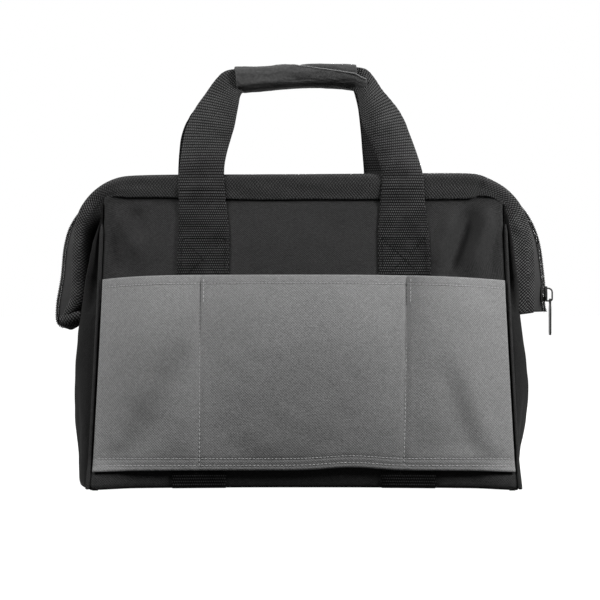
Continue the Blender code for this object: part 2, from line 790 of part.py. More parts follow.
def zip_stop():
    """The clip that closes the zip's left end round both coils."""
    half_width = GAP + COIL_WIDTH
    half_height = COIL_HEIGHT / 2 + GAP + STOP_WALL
    top = COIL_FOOT - GAP
    low = Vector((-COIL_EAR - half_height, -half_width, top - STOP_LENGTH))
    high = Vector((-COIL_EAR + half_height, half_width, top))
    sweep("zip_end_stop", box_sections(low, high), "zip_coil", Vector((-COIL_EAR, 0, top)))


# Slider and puller

def slider_plates():
    """The inner and outer faces of the slider's two plates, from the bag outwards."""
    inner_high = COIL_EAR - COIL_HEIGHT / 2 - GAP
    outer_low = COIL_EAR + COIL_HEIGHT / 2 + GAP
    return inner_high - SLIDER_PLATE, inner_high, outer_low, outer_low + SLIDER_PLATE


def bail_centre():
    """The line about which the puller swings: the centre of the lower bend of the slider's loop."""
    outside = slider_plates()[3]
    low = SLIDER_FOOT + SLIDER_LENGTH - BAIL_FROM_TOP - BAIL_LENGTH
    return Vector((outside + BAIL_REACH - BAIL_BEND, 0, low + BAIL_BEND))


def bail_line():
    """The wire loop on the slider's outer plate, from its lower to its upper foot."""
    swing = bail_centre()
    foot = slider_plates()[3] - SLIDER_PLATE / 2
    high = swing.z - BAIL_BEND + BAIL_LENGTH
    shoulder = Vector((swing.x + BAIL_BEND - BAIL_SHOULDER, 0, high - BAIL_SHOULDER))
    line = [Vector((foot, 0, swing.z - BAIL_BEND))]
    for turn in spread(0, math.pi / 2, BAIL_STEPS):
        line.append(swing + Vector((math.sin(turn), 0, -math.cos(turn))) * BAIL_BEND)
    for turn in spread(0, math.pi / 2, BAIL_STEPS):
        line.append(shoulder + Vector((math.cos(turn), 0, math.sin(turn))) * BAIL_SHOULDER)
    line.append(Vector((foot, 0, high)))
    return line


def zip_slider():
    inner_low, inner_high, outer_low, outer_high = slider_plates()
    foot, top = SLIDER_FOOT, SLIDER_FOOT + SLIDER_LENGTH
    shoulder = foot + SLIDER_LENGTH / 2
    origin = Vector((COIL_EAR, 0, foot))

    def plate(name, width, low, high):
        half, taper = width / 2, width * 0.38
        outline = [(-half, foot), (half, foot), (half, shoulder), (taper, top), (-taper, top),
                   (-half, shoulder)]
        return sweep(name, [[Vector((x, y, z)) for y, z in outline] for x in (low, high)],
                     "slider_metal", origin)

    body = plate("zip_slider", SLIDER_INNER_WIDTH, inner_low, inner_high)
    overlap = SLIDER_PLATE / 2
    post = box_sections(
        (inner_high - overlap, -SLIDER_POST_WIDTH / 2, foot),
        (outer_low + overlap, SLIDER_POST_WIDTH / 2, foot + SLIDER_POST_LENGTH),
    )
    line = bail_line()
    sections = []
    for i, p in enumerate(line):
        along = (line[min(i + 1, len(line) - 1)] - line[max(i - 1, 0)]).normalized()
        across = along.cross(Vector((0, 1, 0)))
        sections.append(ring(p, across, Vector((0, 1, 0)), BAIL_WIRE))
    for made in (
        plate("slider_outer_plate", SLIDER_WIDTH, outer_low, outer_high),
        sweep("slider_post", post, "slider_metal"),
        sweep("slider_bail", sections, "slider_metal"),
    ):
        boolean(body, cutter(made), "UNION")


def zip_puller():
    """A flat pull with an eye round the bail, hanging edge on to the front."""
    hang = bail_centre()
    eye_top = hang.z - BAIL_BEND + BAIL_WIRE + PULLER_EYE_PLAY
    eye_foot = eye_top - PULLER_EYE_LENGTH
    top = eye_top + PULLER_EYE_WALL
    low = top - PULLER_LENGTH
    neck, wide = PULLER_NECK / 2, PULLER_WIDTH / 2
    shoulder = eye_foot - PULLER_EYE_WALL
    outline = [
        (-neck, top), (neck, top), (neck, shoulder), (wide, shoulder - wide), (wide, low + neck),
        (neck, low), (-neck, low), (-wide, low + neck), (-wide, shoulder - wide), (-neck, shoulder),
    ]
    sections = [[Vector((x, y, z)) for y, z in outline]
                for x in (hang.x - PULLER / 2, hang.x + PULLER / 2)]
    made = sweep("zip_puller", sections, "slider_metal", hang)
    eye = box_sections(
        (hang.x - PULLER, -PULLER_EYE_WIDTH / 2, eye_foot),
        (hang.x + PULLER, PULLER_EYE_WIDTH / 2, eye_top),
    )
    boolean(made, cutter(sweep("puller_eye", eye, "slider_metal")), "DIFFERENCE")


# Handles

def handle_foot():
    return Vector((0, BAND_DEPTH_TOP + band_half() + LAYER_GAP + STRAP / 2, MOUTH_TOP))


def handle_line(side):
    """Centre of a handle's strap with its width and thickness at each point."""
    foot = handle_foot()
    shift = strap_x(0, side)
    points, sizes = [], []
    for x_share, z_share, folded in handle_line_shares:
        lean = smooth(min(1.0, z_share * 1.15))
        depth = side * mix(foot.y, GRIP_STRAP_DEPTH, lean)
        height = foot.z + LAYER_GAP + (HANDLE_RISE - LAYER_GAP) * z_share
        drift = shift * (1 - lean)
        points.append(Vector((STRAP_OFFSET * x_share + drift, depth, height)))
        sizes.append(Vector((mix(STRAP_WIDTH, GRIP_STRAP_WIDTH, folded), mix(STRAP, GRIP_STRAP, folded), 0)))
    return curve_through(points, HANDLE_STEPS), curve_through(sizes, HANDLE_STEPS)


def handle(side, name):
    line, sizes = handle_line(side)
    sections = []
    last = len(line) - 1
    for i, (p, size) in enumerate(zip(line, sizes)):
        along = line[min(i + 1, last)] - line[max(i - 1, 0)]
        along.y = 0
        if i in (0, last):
            along = Vector((0, 0, along.z))
        across = along.normalized().cross(Vector((0, 1, 0))) * size.x / 2
        out = Vector((0, size.y / 2, 0))
        sections.append([p - across - out, p + across - out, p + across + out, p - across + out])
    foot = handle_foot()
    sweep(name, sections, "webbing", Vector((0, side * foot.y, foot.z)))


def grip_centre(x):
    """Height of the grip's middle: both handles run through it."""
    line, sizes = handle_line(FRONT)
    top = [p for p in line if p.z > MOUTH_TOP + HANDLE_RISE / 2]
    for a, b in zip(top, top[1:]):
        if a.x <= x <= b.x:
            return mix(a.z, b.z, (x - a.x) / (b.x - a.x))
    return top[-1].z


def grip_point(x, angle, out):
    """A point round the grip: angle 0 faces the front, a quarter turn is the top."""
    depth = GRIP_HALF_DEPTH - GRIP_WALL + out
    height = GRIP_HALF_HEIGHT - GRIP_WALL + out
    power = 2 / GRIP_CORNER_POWER
    across, up = math.cos(angle), math.sin(angle)
    y = -math.copysign(abs(across) ** power, across) * depth
    z = math.copysign(abs(up) ** power, up) * height
    return Vector((x, y, grip_centre(x) + z))


def grip_piece(name, start, stop, origin):
    angles = spread(start, stop, GRIP_ARC_STEPS)
    sections = []
    for x in spread(GRIP_LEFT, GRIP_RIGHT, GRIP_STEPS):
        outside = [grip_point(x, a, GRIP_WALL) for a in angles]
        inside = [grip_point(x, a, 0) for a in reversed(angles)]
        sections.append(outside + inside)
    sweep(name, sections, "grip_cloth", origin)


def grip():
    """The wrap that joins both handles: a sewn half and a flap that opens along the lower back edge."""
    middle = (GRIP_LEFT + GRIP_RIGHT) / 2
    hinge = grip_point(middle, GRIP_FLAP_HINGE, GRIP_WALL / 2)
    foot = handle_foot()
    grip_piece("grip_wrap", GRIP_FLAP_EDGE + GRIP_FLAP_GAP, GRIP_FLAP_HINGE + math.tau - GRIP_FLAP_GAP,
               Vector((0, foot.y, foot.z)))
    grip_piece("grip_flap", GRIP_FLAP_HINGE, GRIP_FLAP_EDGE, hinge)


# Assembly

def build():
    clear_scene()
    bottom_panel()
    base_board()
    for end, end_name in ((LEFT, "left"), (RIGHT, "right")):
        end_panel(end, end_name + "_end_panel")
        base_strap(end, end_name + "_base_strap")
    for side, name in ((FRONT, "front"), (BACK, "back")):
        main_panel(side, name + "_panel")
        upper_panel(side, name + "_upper_panel")
        pocket(side, name + "_pocket")
        mouth_wire(side, name + "_mouth_wire")
        mouth_binding(side, name + "_mouth_binding")
        zip_tape(side, name + "_zip_tape")
        zip_coil(side, name + "_zip_coil")
        handle(side, name + "_handle")
        for end, end_name in ((LEFT, "left"), (RIGHT, "right")):
            label = name + "_" + end_name
            sewn = spread(STRAP_BASE_RISE + GAP, PANEL_SPLIT, STRAP_ROWS)
            loose = spread(PANEL_SPLIT + GAP, MOUTH_TOP, STRAP_ROWS)
            strap_sheet(label + "_strap", end, side, sewn)
            strap_sheet(label + "_strap_top", end, side, loose)
            gusset_fold(end, side, label + "_gusset_fold")
            piping(end, side, label + "_piping")
    zip_stop()
    zip_slider()
    zip_puller()
    grip()


build()
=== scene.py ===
import math
from itertools import accumulate

import bmesh
import bpy
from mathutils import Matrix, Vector, noise


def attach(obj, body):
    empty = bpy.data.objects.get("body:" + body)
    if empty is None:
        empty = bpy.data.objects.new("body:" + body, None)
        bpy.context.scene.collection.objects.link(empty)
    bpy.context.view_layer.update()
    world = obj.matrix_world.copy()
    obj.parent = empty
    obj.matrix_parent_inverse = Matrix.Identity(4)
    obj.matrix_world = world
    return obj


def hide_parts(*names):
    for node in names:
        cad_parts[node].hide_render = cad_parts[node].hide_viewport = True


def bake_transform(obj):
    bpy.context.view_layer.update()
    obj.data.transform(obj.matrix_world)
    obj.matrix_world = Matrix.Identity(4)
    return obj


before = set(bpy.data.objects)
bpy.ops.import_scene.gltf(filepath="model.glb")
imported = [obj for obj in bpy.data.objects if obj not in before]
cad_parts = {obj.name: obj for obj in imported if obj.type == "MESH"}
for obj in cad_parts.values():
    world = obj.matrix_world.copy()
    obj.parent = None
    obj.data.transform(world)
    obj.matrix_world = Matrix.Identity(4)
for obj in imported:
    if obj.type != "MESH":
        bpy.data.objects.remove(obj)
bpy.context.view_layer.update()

FRONT, BACK = -1, 1
LEFT, RIGHT = -1, 1
SIDES = ((FRONT, "front"), (BACK, "back"))
ENDS = ((LEFT, "left"), (RIGHT, "right"))

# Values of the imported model, in metres
HALF_LENGTH = 0.200
MOUTH_CORNER_X = 0.165
MOUTH_REACH, MOUTH_CENTRE, MOUTH_RISE = 0.0675, 0.210, 0.0936
PANEL_TOP, PANEL_TOP_DROP = 0.2766, 0.001
MIDDLE_POWER, SEAM_POWER, ACROSS_POWER = 2.17, 1.15, 2.4
RIM_DEPTH, BASE_DEPTH, BASE_CORNER_DEPTH = 0.0148, 0.100, 0.113
WALL = 0.003
BAND_HALF, BAND_DEPTH_TOP = 0.0036, 0.0130
STRAP_WIDTH, STRAP, STRAP_OFFSET = 0.050, 0.0016, 0.099
LAYER_GAP = 0.0006
POCKET_FOOT, POCKET_TOP, POCKET_EDGE, POCKET_BULGE = 0.018, 0.203, 0.1985, 0.013
COIL_WIDTH = 0.0033
FOLD_FOOT = 0.165

# Values of this script, in metres
FOOT = 0.004  # height at which the cloth turns under the bag
SEAM_GAP = 0.0003  # between the panels' edges and the side seam
HELD_BELOW = 0.0062  # how far below the frame's line the binding holds a main panel
CORNER_FLARE, FLARE_WIDTH, FLARE_HEIGHT = 0.0095, 0.042, 0.030
BACK_STRAP_SHIFT = 0.007
PANEL_CLOTH, END_CLOTH, FOLD_CLOTH, POCKET_CLOTH = 0.0024, 0.0020, 0.0007, 0.0013
BINDING_CLOTH, TAPE_CLOTH, STRAP_CLOTH, BASE_WEB, GRIP_CLOTH = 0.0013, 0.0007, 0.0015, 0.0014, 0.0015
THREAD_RADIUS, STITCH_SHARE = 0.00036, 0.78
PIPING_RADIUS, WIRE_RADIUS, COIL_WIRE_RADIUS, HEM_RADIUS = 0.0019, 0.0020, 0.00045, 0.0008

# Camera of the photograph, and light
EYE = Vector((-0.0036, -1.5, 0.1786))
FOCAL = 1476.0
FRAME_PIXELS = 600
SENSOR = 36
AMBIENT = 0.03
LAMPS = (  # place, point it shines at, width, watts
    ("key", (0.80, -0.34, 0.74), (0.05, 0, 0.18), 0.36, 29.5),
    ("fill", (-0.70, -0.32, 0.80), (-0.05, 0, 0.20), 0.4, 19.5),
    ("back", (0.22, 1.05, 0.58), (0, 0, 0.14), 0.5, 24),
)
FLOOR_REACH, FLOOR_HEIGHT = 14, -0.0006


# Sums

def mix(a, b, share):
    return a + (b - a) * share


def clamp(value, low=0.0, high=1.0):
    return min(max(value, low), high)


def smooth(share):
    share = clamp(share)
    return share * share * (3 - 2 * share)


def bell(value, middle, width):
    return math.exp(-((value - middle) / width) ** 2)


def spread(low, high, steps):
    return [low + (high - low) * i / steps for i in range(steps + 1)]


def metres(rows):
    """Rows given in millimetres."""
    return [[value / 1000 for value in row] for row in rows]


def at(across, down, y):
    """The point at that depth which the photograph shows at this pixel."""
    scale = (y - EYE.y) / FOCAL
    half = FRAME_PIXELS / 2
    return Vector((EYE.x + (across - half) * scale, y, EYE.z + (half - down) * scale))


def through(rows, steps):
    """Rows of numbers on a smooth curve through the given rows, with so many steps from one to the next."""
    first = [2 * a - b for a, b in zip(rows[0], rows[1])]
    last = [2 * a - b for a, b in zip(rows[-1], rows[-2])]
    ends = [first, *rows, last]
    made = []
    for a, b, c, d in zip(ends, ends[1:], ends[2:], ends[3:]):
        for i in range(steps):
            t = i / steps
            made.append([
                (2 * q + (r - p) * t + (2 * p - 5 * q + 4 * r - s) * t * t
                 + (3 * q - p - 3 * r + s) * t ** 3) / 2
                for p, q, r, s in zip(a, b, c, d)
            ])
    made.append(list(rows[-1]))
    return made


def evenly(rows, steps, measured=3):
    """Rows evenly spaced along the given ones. Their first numbers, so many, are the place."""
    lengths = [0.0, *accumulate(math.dist(a[:measured], b[:measured]) for a, b in zip(rows, rows[1:]))]
    made, i = [], 0
    for want in spread(0, lengths[-1], steps):
        while i < len(rows) - 2 and lengths[i + 1] < want:
            i += 1
        share = clamp((want - lengths[i]) / max(lengths[i + 1] - lengths[i], 1e-9))
        made.append([mix(a, b, share) for a, b in zip(rows[i], rows[i + 1])])
    return made


def curve(rows, finer, steps, measured=3):
    """Evenly spaced rows on a smooth curve through the given ones."""
    return evenly(through(rows, finer), steps, measured)


def looked_up(rows, value):
    """The second number that belongs to a first one, on straight lines between the rows."""
    if value <= rows[0][0]:
        return rows[0][1]
    for (a, p), (b, q) in zip(rows, rows[1:]):
        if value <= b:
            return mix(p, q, (value - a) / (b - a))
    return rows[-1][1]


def uneven(x, z, *waves):
    """Noise in several sizes: height, size and seed of each."""
    return sum(height * noise.noise(Vector((x / size, z / size, seed * 7.31))) for height, size, seed in waves)


def creases(x, z, rows):
    """Ridges, and hollows where the height is below zero: each from a point to a point, width, height."""
    total = 0.0
    for x0, z0, x1, z1, width, height in rows:
        dx, dz = x1 - x0, z1 - z0
        t = ((x - x0) * dx + (z - z0) * dz) / (dx * dx + dz * dz)
        if t < -0.3 or t > 1.3:
            continue
        away = (x - x0 - dx * t) ** 2 + (z - z0 - dz * t) ** 2
        if away > 9 * width * width:
            continue
        ends = smooth((t + 0.3) / 0.6) * smooth((1.3 - t) / 0.6)
        total += height * math.exp(-away / (width * width)) * ends
    return total


# Meshes

def finished(name, bm, finish, angle=50):
    mesh = bpy.data.meshes.new(name)
    bm.to_mesh(mesh)
    bm.free()
    mesh.shade_smooth()
    mesh.set_sharp_from_angle(angle=math.radians(angle))
    made = bpy.data.objects.new(name, mesh)
    bpy.context.scene.collection.objects.link(made)
    made.data.materials.append(finish)
    return made


def dressed(made, nodes, body, other=None):
    """Hides the nodes a piece replaces and parents it to the body it rides on; a piece given a second body is fixed
    where it lies and parented to neither.
    """
    if nodes:
        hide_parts(*nodes)
    if other:
        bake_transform(made)
    else:
        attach(made, body)


def distances(points):
    """How far each point is from the first one, along the line."""
    return [0.0, *accumulate((b - a).length for a, b in zip(points, points[1:]))]


def grid_lengths(grid):
    """For each row its place along the middle column, and for each point its place across from the middle."""
    middle = len(grid[0]) // 2
    across = [[p - places[middle] for p in places] for places in map(distances, grid)]
    return distances([row[middle] for row in grid]), across


def grid_normals(grid, facing):
    rows, columns = len(grid), len(grid[0])
    made = []
    for r in range(rows):
        made.append([])
        for c in range(columns):
            across = grid[r][min(c + 1, columns - 1)] - grid[r][max(c - 1, 0)]
            along = grid[min(r + 1, rows - 1)][c] - grid[max(r - 1, 0)][c]
            normal = across.cross(along)
            if normal.length < 1e-12 and made[-1]:
                normal = made[-1][-1] * facing
            made[-1].append(normal.normalized() * facing)
    return made


def cloth(name, grid, thickness, finish, facing=1, lengths=None):
    """A closed sheet whose outer face is the grid, with rounded edges. UVs are metres across and along."""
    rows, columns = len(grid), len(grid[0])
    normals = grid_normals(grid, facing)
    along, across = lengths or grid_lengths(grid)
    bm = bmesh.new()
    uv = bm.loops.layers.uv.new("UVMap")
    where = {}

    def vertex(point, r, c):
        made = bm.verts.new(point)
        where[made] = (across[r][c], along[r])
        return made

    def layer(depth):
        return [[vertex(grid[r][c] - normals[r][c] * depth, r, c) for c in range(columns)] for r in range(rows)]

    top, low = layer(0), layer(thickness)
    rim = [(0, c) for c in range(columns)]
    rim += [(r, columns - 1) for r in range(1, rows)]
    rim += [(rows - 1, c) for c in range(columns - 2, -1, -1)]
    rim += [(r, 0) for r in range(rows - 2, 0, -1)]
    edge = []
    for r, c in rim:
        inner_r, inner_c = clamp(r, 1, rows - 2), clamp(c, 1, columns - 2)
        out = grid[r][c] - grid[inner_r][inner_c]
        out -= normals[r][c] * out.dot(normals[r][c])
        out = out.normalized() if out.length > 1e-9 else Vector()
        edge.append(vertex(grid[r][c] - normals[r][c] * thickness / 2 + out * thickness * 0.38, r, c))
    faces = []
    for r in range(rows - 1):
        for c in range(columns - 1):
            faces.append((top[r][c], top[r][c + 1], top[r + 1][c + 1], top[r + 1][c]))
            faces.append((low[r][c], low[r + 1][c], low[r + 1][c + 1], low[r][c + 1]))
    for i, (r, c) in enumerate(rim):
        j = (i + 1) % len(rim)
        s, d = rim[j]
        faces.append((top[r][c], edge[i], edge[j], top[s][d]))
        faces.append((edge[i], low[r][c], low[s][d], edge[j]))
    for corners in faces:
        face = bm.faces.new(corners if facing > 0 else tuple(reversed(corners)))
        for loop in face.loops:
            loop[uv].uv = where[loop.vert]
    return finished(name, bm, finish, 60)


def frames(points):
    """Two directions across a line at each of its points, which turn as little as possible."""
    made, side = [], None
    last = len(points) - 1
    for i in range(last + 1):
        along = (points[min(i + 1, last)] - points[max(i - 1, 0)]).normalized()
        if side is None:
            side = along.orthogonal()
        side = (side - along * side.dot(along)).normalized()
        made.append((side, along.cross(side)))
    return made


def ring(bm, centre, a, b, radius, sides):
    turns = [math.tau * k / sides for k in range(sides)]
    return [bm.verts.new(centre + (a * math.cos(t) + b * math.sin(t)) * radius) for t in turns]


def skin(bm, rings):
    """Faces from ring to ring, and one over each end."""
    sides = len(rings[0])
    walls = []
    for low, high in zip(rings, rings[1:]):
        for k in range(sides):
            n = (k + 1) % sides
            walls.append(bm.faces.new((low[k], low[n], high[n], high[k])))
    return walls, [bm.faces.new(list(reversed(rings[0]))), bm.faces.new(rings[-1])]


def tube(name, points, radii, sides, finish):
    """A closed tube along the points, with one radius or one for each. UVs are metres round and along."""
    if isinstance(radii, float):
        radii = [radii] * len(points)
    bm = bmesh.new()
    uv = bm.loops.layers.uv.verify()
    places = distances(points)
    walls, caps = skin(bm, [ring(bm, p, a, b, radius, sides)
                            for p, (a, b), radius in zip(points, frames(points), radii)])
    for number, face in enumerate(walls):
        i, k = divmod(number, sides)
        for loop, t, place in zip(face.loops, (k, k + 1, k + 1, k), (i, i, i + 1, i + 1)):
            loop[uv].uv = (t / sides * math.tau * radii[i], places[place])
    for face in caps:
        for loop in face.loops:
            loop[uv].uv = (0.0, places[-1])
    return finished(name, bm, finish)


# Rings of a stitch: place along it as a share of its length, height and size as shares of the thread's radius
STITCH = ((-0.5, -0.9, 0.5), (-0.38, 0.35, 1), (0, 0.75, 1), (0.38, 0.35, 1), (0.5, -0.9, 0.5))


def add_stitch(bm, middle, along, out, length):
    """One stitch of thread: it comes out of the cloth, lies on it and goes in again."""
    side = along.cross(out).normalized()
    skin(bm, [ring(bm, middle + along * (length * share) + out * (THREAD_RADIUS * height),
                   side, out, THREAD_RADIUS * size, 6) for share, height, size in STITCH])


def stitch_line(bm, surface, stops, pitch, out):
    """Stitches along straight stretches of a surface's own two measures, from stop to stop."""
    step = 1e-3
    for start, stop in zip(stops, stops[1:]):
        line = [surface(*[mix(a, b, t) for a, b in zip(start, stop)]) for t in spread(0, 1, 24)]
        total = distances(line)[-1]
        count = max(1, round(total / pitch))
        places = evenly(line, count * 2)
        for i in range(count):
            u, v = [mix(a, b, (i + 0.5) / count) for a, b in zip(start, stop)]
            normal = (surface(u + step, v) - surface(u - step, v)).cross(
                surface(u, v + step) - surface(u, v - step)).normalized()
            if normal.dot(out) < 0:
                normal = -normal
            along = (Vector(places[2 * i + 2]) - Vector(places[2 * i])).normalized()
            add_stitch(bm, surface(u, v), along, normal, total / count * STITCH_SHARE)


# Materials

class Value:
    """The output of a shader node. A sum of values makes the nodes for it."""

    def __init__(self, nodes, socket):
        self.nodes, self.socket = nodes, socket

    def __add__(self, other):
        return self.nodes.sum("ADD", self, other)

    def __sub__(self, other):
        return self.nodes.sum("SUBTRACT", self, other)

    def __mul__(self, other):
        return self.nodes.sum("MULTIPLY", self, other)

    def __pow__(self, other):
        return self.nodes.sum("POWER", self, other)


class Nodes:
    """A tree of shader nodes."""

    def __init__(self, tree):
        self.tree = tree

    def node(self, kind, **settings):
        made = self.tree.nodes.new(kind)
        for key, value in settings.items():
            setattr(made, key, value)
        return made

    def put(self, socket, value):
        if isinstance(value, Value):
            self.tree.links.new(value.socket, socket)
        else:
            socket.default_value = value

    def filled(self, made, *values):
        for socket, value in zip(made.inputs, values):
            self.put(socket, value)
        return Value(self, made.outputs[0])

    def given(self, kind, name):
        """A named output of a node that needs no input."""
        return Value(self, self.node(kind).outputs[name])

    def sum(self, operation, *values):
        return self.filled(self.node("ShaderNodeMath", operation=operation), *values)

    def seen(self):
        """1 for rays of the camera and for those in gloss and glass, 0 for the light that falls on a piece."""
        camera, gloss, glass = [self.given("ShaderNodeLightPath", "Is %s Ray" % ray)
                                for ray in ("Camera", "Glossy", "Transmission")]
        return self.sum("MAXIMUM", camera, self.sum("MAXIMUM", gloss, glass))


class Finish(Nodes):
    """A material: a Principled shader and what is linked to it."""

    def __init__(self, name, roughness, sheen=0.0, metallic=0.0, specular=0.5):
        self.material = bpy.data.materials.get(name) or bpy.data.materials.new(name)
        self.material.use_nodes = True
        super().__init__(self.material.node_tree)
        self.tree.nodes.clear()
        self.output = self.node("ShaderNodeOutputMaterial")
        self.shader = self.node("ShaderNodeBsdfPrincipled")
        for socket, value in (("Roughness", roughness), ("Metallic", metallic), ("Specular IOR Level", specular),
                              ("Sheen Weight", sheen), ("Sheen Roughness", 0.5)):
            self.shader.inputs[socket].default_value = value
        self.surface = Value(self, self.shader.outputs[0])
        self.put(self.output.inputs["Surface"], self.surface)

    def place(self, space):
        """The three parts of a place, in metres: UV across and along, or Object."""
        split = self.node("ShaderNodeSeparateXYZ")
        self.put(split.inputs[0], self.given("ShaderNodeTexCoord", space))
        return [Value(self, part) for part in split.outputs]

    def cloud(self, scale, detail, stretch=(1, 1, 1)):
        mapping = self.node("ShaderNodeMapping")
        mapping.inputs["Scale"].default_value = stretch
        made = self.node("ShaderNodeTexNoise")
        made.inputs["Scale"].default_value = scale
        made.inputs["Detail"].default_value = detail
        self.put(made.inputs["Vector"], self.filled(mapping, self.given("ShaderNodeTexCoord", "Object")))
        return Value(self, made.outputs["Fac"])

    def wave(self, value, turn=math.pi):
        return self.sum("ABSOLUTE", self.sum("SINE", value * turn))

    def eased(self, value, low, high, kind="SMOOTHSTEP"):
        return self.filled(self.node("ShaderNodeMapRange", interpolation_type=kind), value, low, high)

    def ramp(self, value, *stops):
        made = self.node("ShaderNodeValToRGB")
        elements = made.color_ramp.elements
        while len(elements) < len(stops):
            elements.new(0.5)
        for element, (place, tone) in zip(elements, stops):
            element.position = place
            element.color = (tone, tone, tone, 1)
        return self.filled(made, value)

    def mixed(self, share, a, b):
        return self.filled(self.node("ShaderNodeMixRGB"), share, a, b)

    def done(self, colour, height, distance, strength):
        """Links the colour and the bump, and gives the material."""
        bump = self.node("ShaderNodeBump")
        bump.inputs["Strength"].default_value = strength
        bump.inputs["Distance"].default_value = distance
        self.put(bump.inputs["Height"], height)
        self.put(self.shader.inputs["Normal"], Value(self, bump.outputs[0]))
        self.put(self.shader.inputs["Base Color"], colour)
        return self.material


def woven_finish(name, dark, light, roughness, pitch, relief, specular=0.04):
    """Plain woven cloth: threads over and under, with slubs along both ways and a little uneven in tone."""
    made = Finish(name, roughness, 0.02, specular=specular)
    u, v = made.place("UV")[:2]
    across, along = [made.sum("SINE", way * (math.tau / pitch)) for way in (u, v)]
    weave = across * along * 0.5 + 0.5
    warp, weft = made.cloud(760, 1.0, (1, 1, 0.42)), made.cloud(700, 1.0, (0.42, 1, 1))
    slub = (warp + weft) * 0.5
    tone = weave * 0.55 + (slub * 0.9 + (made.cloud(14, 3.0) * 0.16 - 0.30))
    return made.done(made.ramp(tone, (0.15, dark), (0.95, light)), weave * 0.4 + slub, relief, 0.8)


# Painted shade: below these heights the straps take a darker copy of the webbing's look.
STRAP_SHADE_HEIGHTS = (0.245, 0.325)  # heights between which the straps turn from their lower to their upper look


def webbing_finish(name, dark, light, specular, low, row=0.00275, dot=0.0021):
    """Webbing: rows of short floats across the strap, each row half a float further than the last. Below the
    mouth the strap is darkened by the share low, as painted shade, and its floats stand out as small dots."""
    made = Finish(name, 0.62, specular * 0.3, specular=specular)
    u, v = made.place("UV")[:2]
    rows = v * (1 / row)
    shift = made.sum("MODULO", made.sum("FLOOR", rows), 2.0) * 0.5
    floats = made.wave(u * (1 / dot) + shift) ** 0.8 * 0.75 + 0.25
    height = made.wave(rows) ** 0.7 * floats
    tone = height * (made.cloud(60, 3.0) * 0.6 + 0.7)
    above = made.eased(made.place("Object")[2], *STRAP_SHADE_HEIGHTS)
    # Painted shade: the lower look is the same webbing darkened by the share low.
    dots = made.ramp(tone, (0.54, dark * low), (0.94, light * low * 2.0))
    plain = made.ramp(tone, (0.15, dark), (0.95, light))
    return made.done(made.mixed(above, dots, plain), height, 0.0005, 0.9)


def herringbone_finish(name, dark, light, pitch=0.0029, other_pitch=0.0038, turn=0.0125, slope=0.85):
    """Tape woven in a herringbone: slanting floats that turn back at each half of its width. It is bolder at
    the ears, and painted shade darkens it in the recess at the left one."""
    made = Finish(name, 0.62, 0.01, specular=0.015)
    u, v = made.place("UV")[:2]
    across = made.sum("PINGPONG", u + 0.2, turn)
    in_row = made.wave((across * slope + v) * (1 / pitch))
    in_dot = made.wave(v - across * 0.9, math.pi / other_pitch)
    height = in_row ** 1.1 * (in_dot * 0.6 + 0.4)
    tone = height * (made.cloud(90, 4.0) * 0.9 + 0.55)
    x, _, z = made.place("Object")
    ear = made.eased(made.sum("ABSOLUTE", x), 0.190, 0.215, "LINEAR")
    calm = made.ramp(tone, (0.10, dark + light * 0.14), (0.95, light * 0.50))
    bold = made.ramp(tone, (0.20, dark), (0.50, light * 0.26), (0.90, light * 0.80))
    # Painted shade: the band's inner half at the left ear is mixed towards near black, standing in for the fold's
    # shadow.
    left = made.sum("LESS_THAN", x, 0.0) * 0.85
    left_ear_shade = made.eased(x, -0.2260, -0.2170) * made.eased(z, 0.278, 0.248) * left
    painted_shade_tone = (0.0006, 0.0006, 0.0006, 1)
    return made.done(made.mixed(left_ear_shade, made.mixed(ear, calm, bold), painted_shade_tone), height, 0.0006, 0.9)


def plain_finish(name, dark, light, roughness, relief, scale, metallic=0.0, sheen=0.0, specular=0.5):
    made = Finish(name, roughness, sheen, metallic, specular)
    value = made.cloud(scale, 4.0)
    return made.done(made.ramp(value, (0.3, dark), (0.7, light)), value, relief, 0.6)


body_cloth = woven_finish("body_cloth_look", 0.0014, 0.0200, 0.80, 0.0024, 0.0006)
# Painted shade: a darker copy of the body cloth, for the end panels and their folds.
shaded_end_cloth = woven_finish("end_cloth_look", 0.0008, 0.0095, 0.80, 0.0024, 0.0006, 0.015)
pocket_cloth = woven_finish("pocket_cloth_look", 0.055, 0.142, 0.82, 0.0025, 0.0004, 0.08)
webbing = webbing_finish("webbing_look", 0.0010, 0.042, 0.015, 0.34)
binding_web = herringbone_finish("binding_look", 0.0008, 0.056)
grip_cloth = plain_finish("grip_cloth_look", 0.017, 0.031, 0.66, 0.0002, 420, sheen=0.03, specular=0.08)
hem_cloth = plain_finish("grip_hem_look", 0.055, 0.085, 0.70, 0.0001, 420, sheen=0.03, specular=0.08)
tape_cloth = plain_finish("zip_tape_look", 0.009, 0.017, 0.60, 0.0001, 900, sheen=0.03, specular=0.12)
coil_plastic = plain_finish("zip_coil_look", 0.005, 0.010, 0.55, 0.00004, 500, specular=0.12)
dark_metal = plain_finish("slider_look", 0.006, 0.014, 0.42, 0.00005, 700, metallic=0.2, specular=0.25)
board_finish = plain_finish("board_look", 0.018, 0.028, 0.60, 0.0003, 160)
wire_finish = plain_finish("wire_look", 0.45, 0.60, 0.35, 0.00004, 400, metallic=1.0)
# Painted shade: a darker copy of the webbing for the back strap and handle and the strap under the bag.
shaded_webbing = webbing_finish("back_webbing_look", 0.0006, 0.0125, 0.01, 0.60)
black_thread = plain_finish("black_thread_look", 0.003, 0.006, 0.9, 0.0001, 1500, specular=0.03)
grey_thread = plain_finish("grey_thread_look", 0.17, 0.23, 0.8, 0.0001, 1500, specular=0.08)


# Camera, light and floor

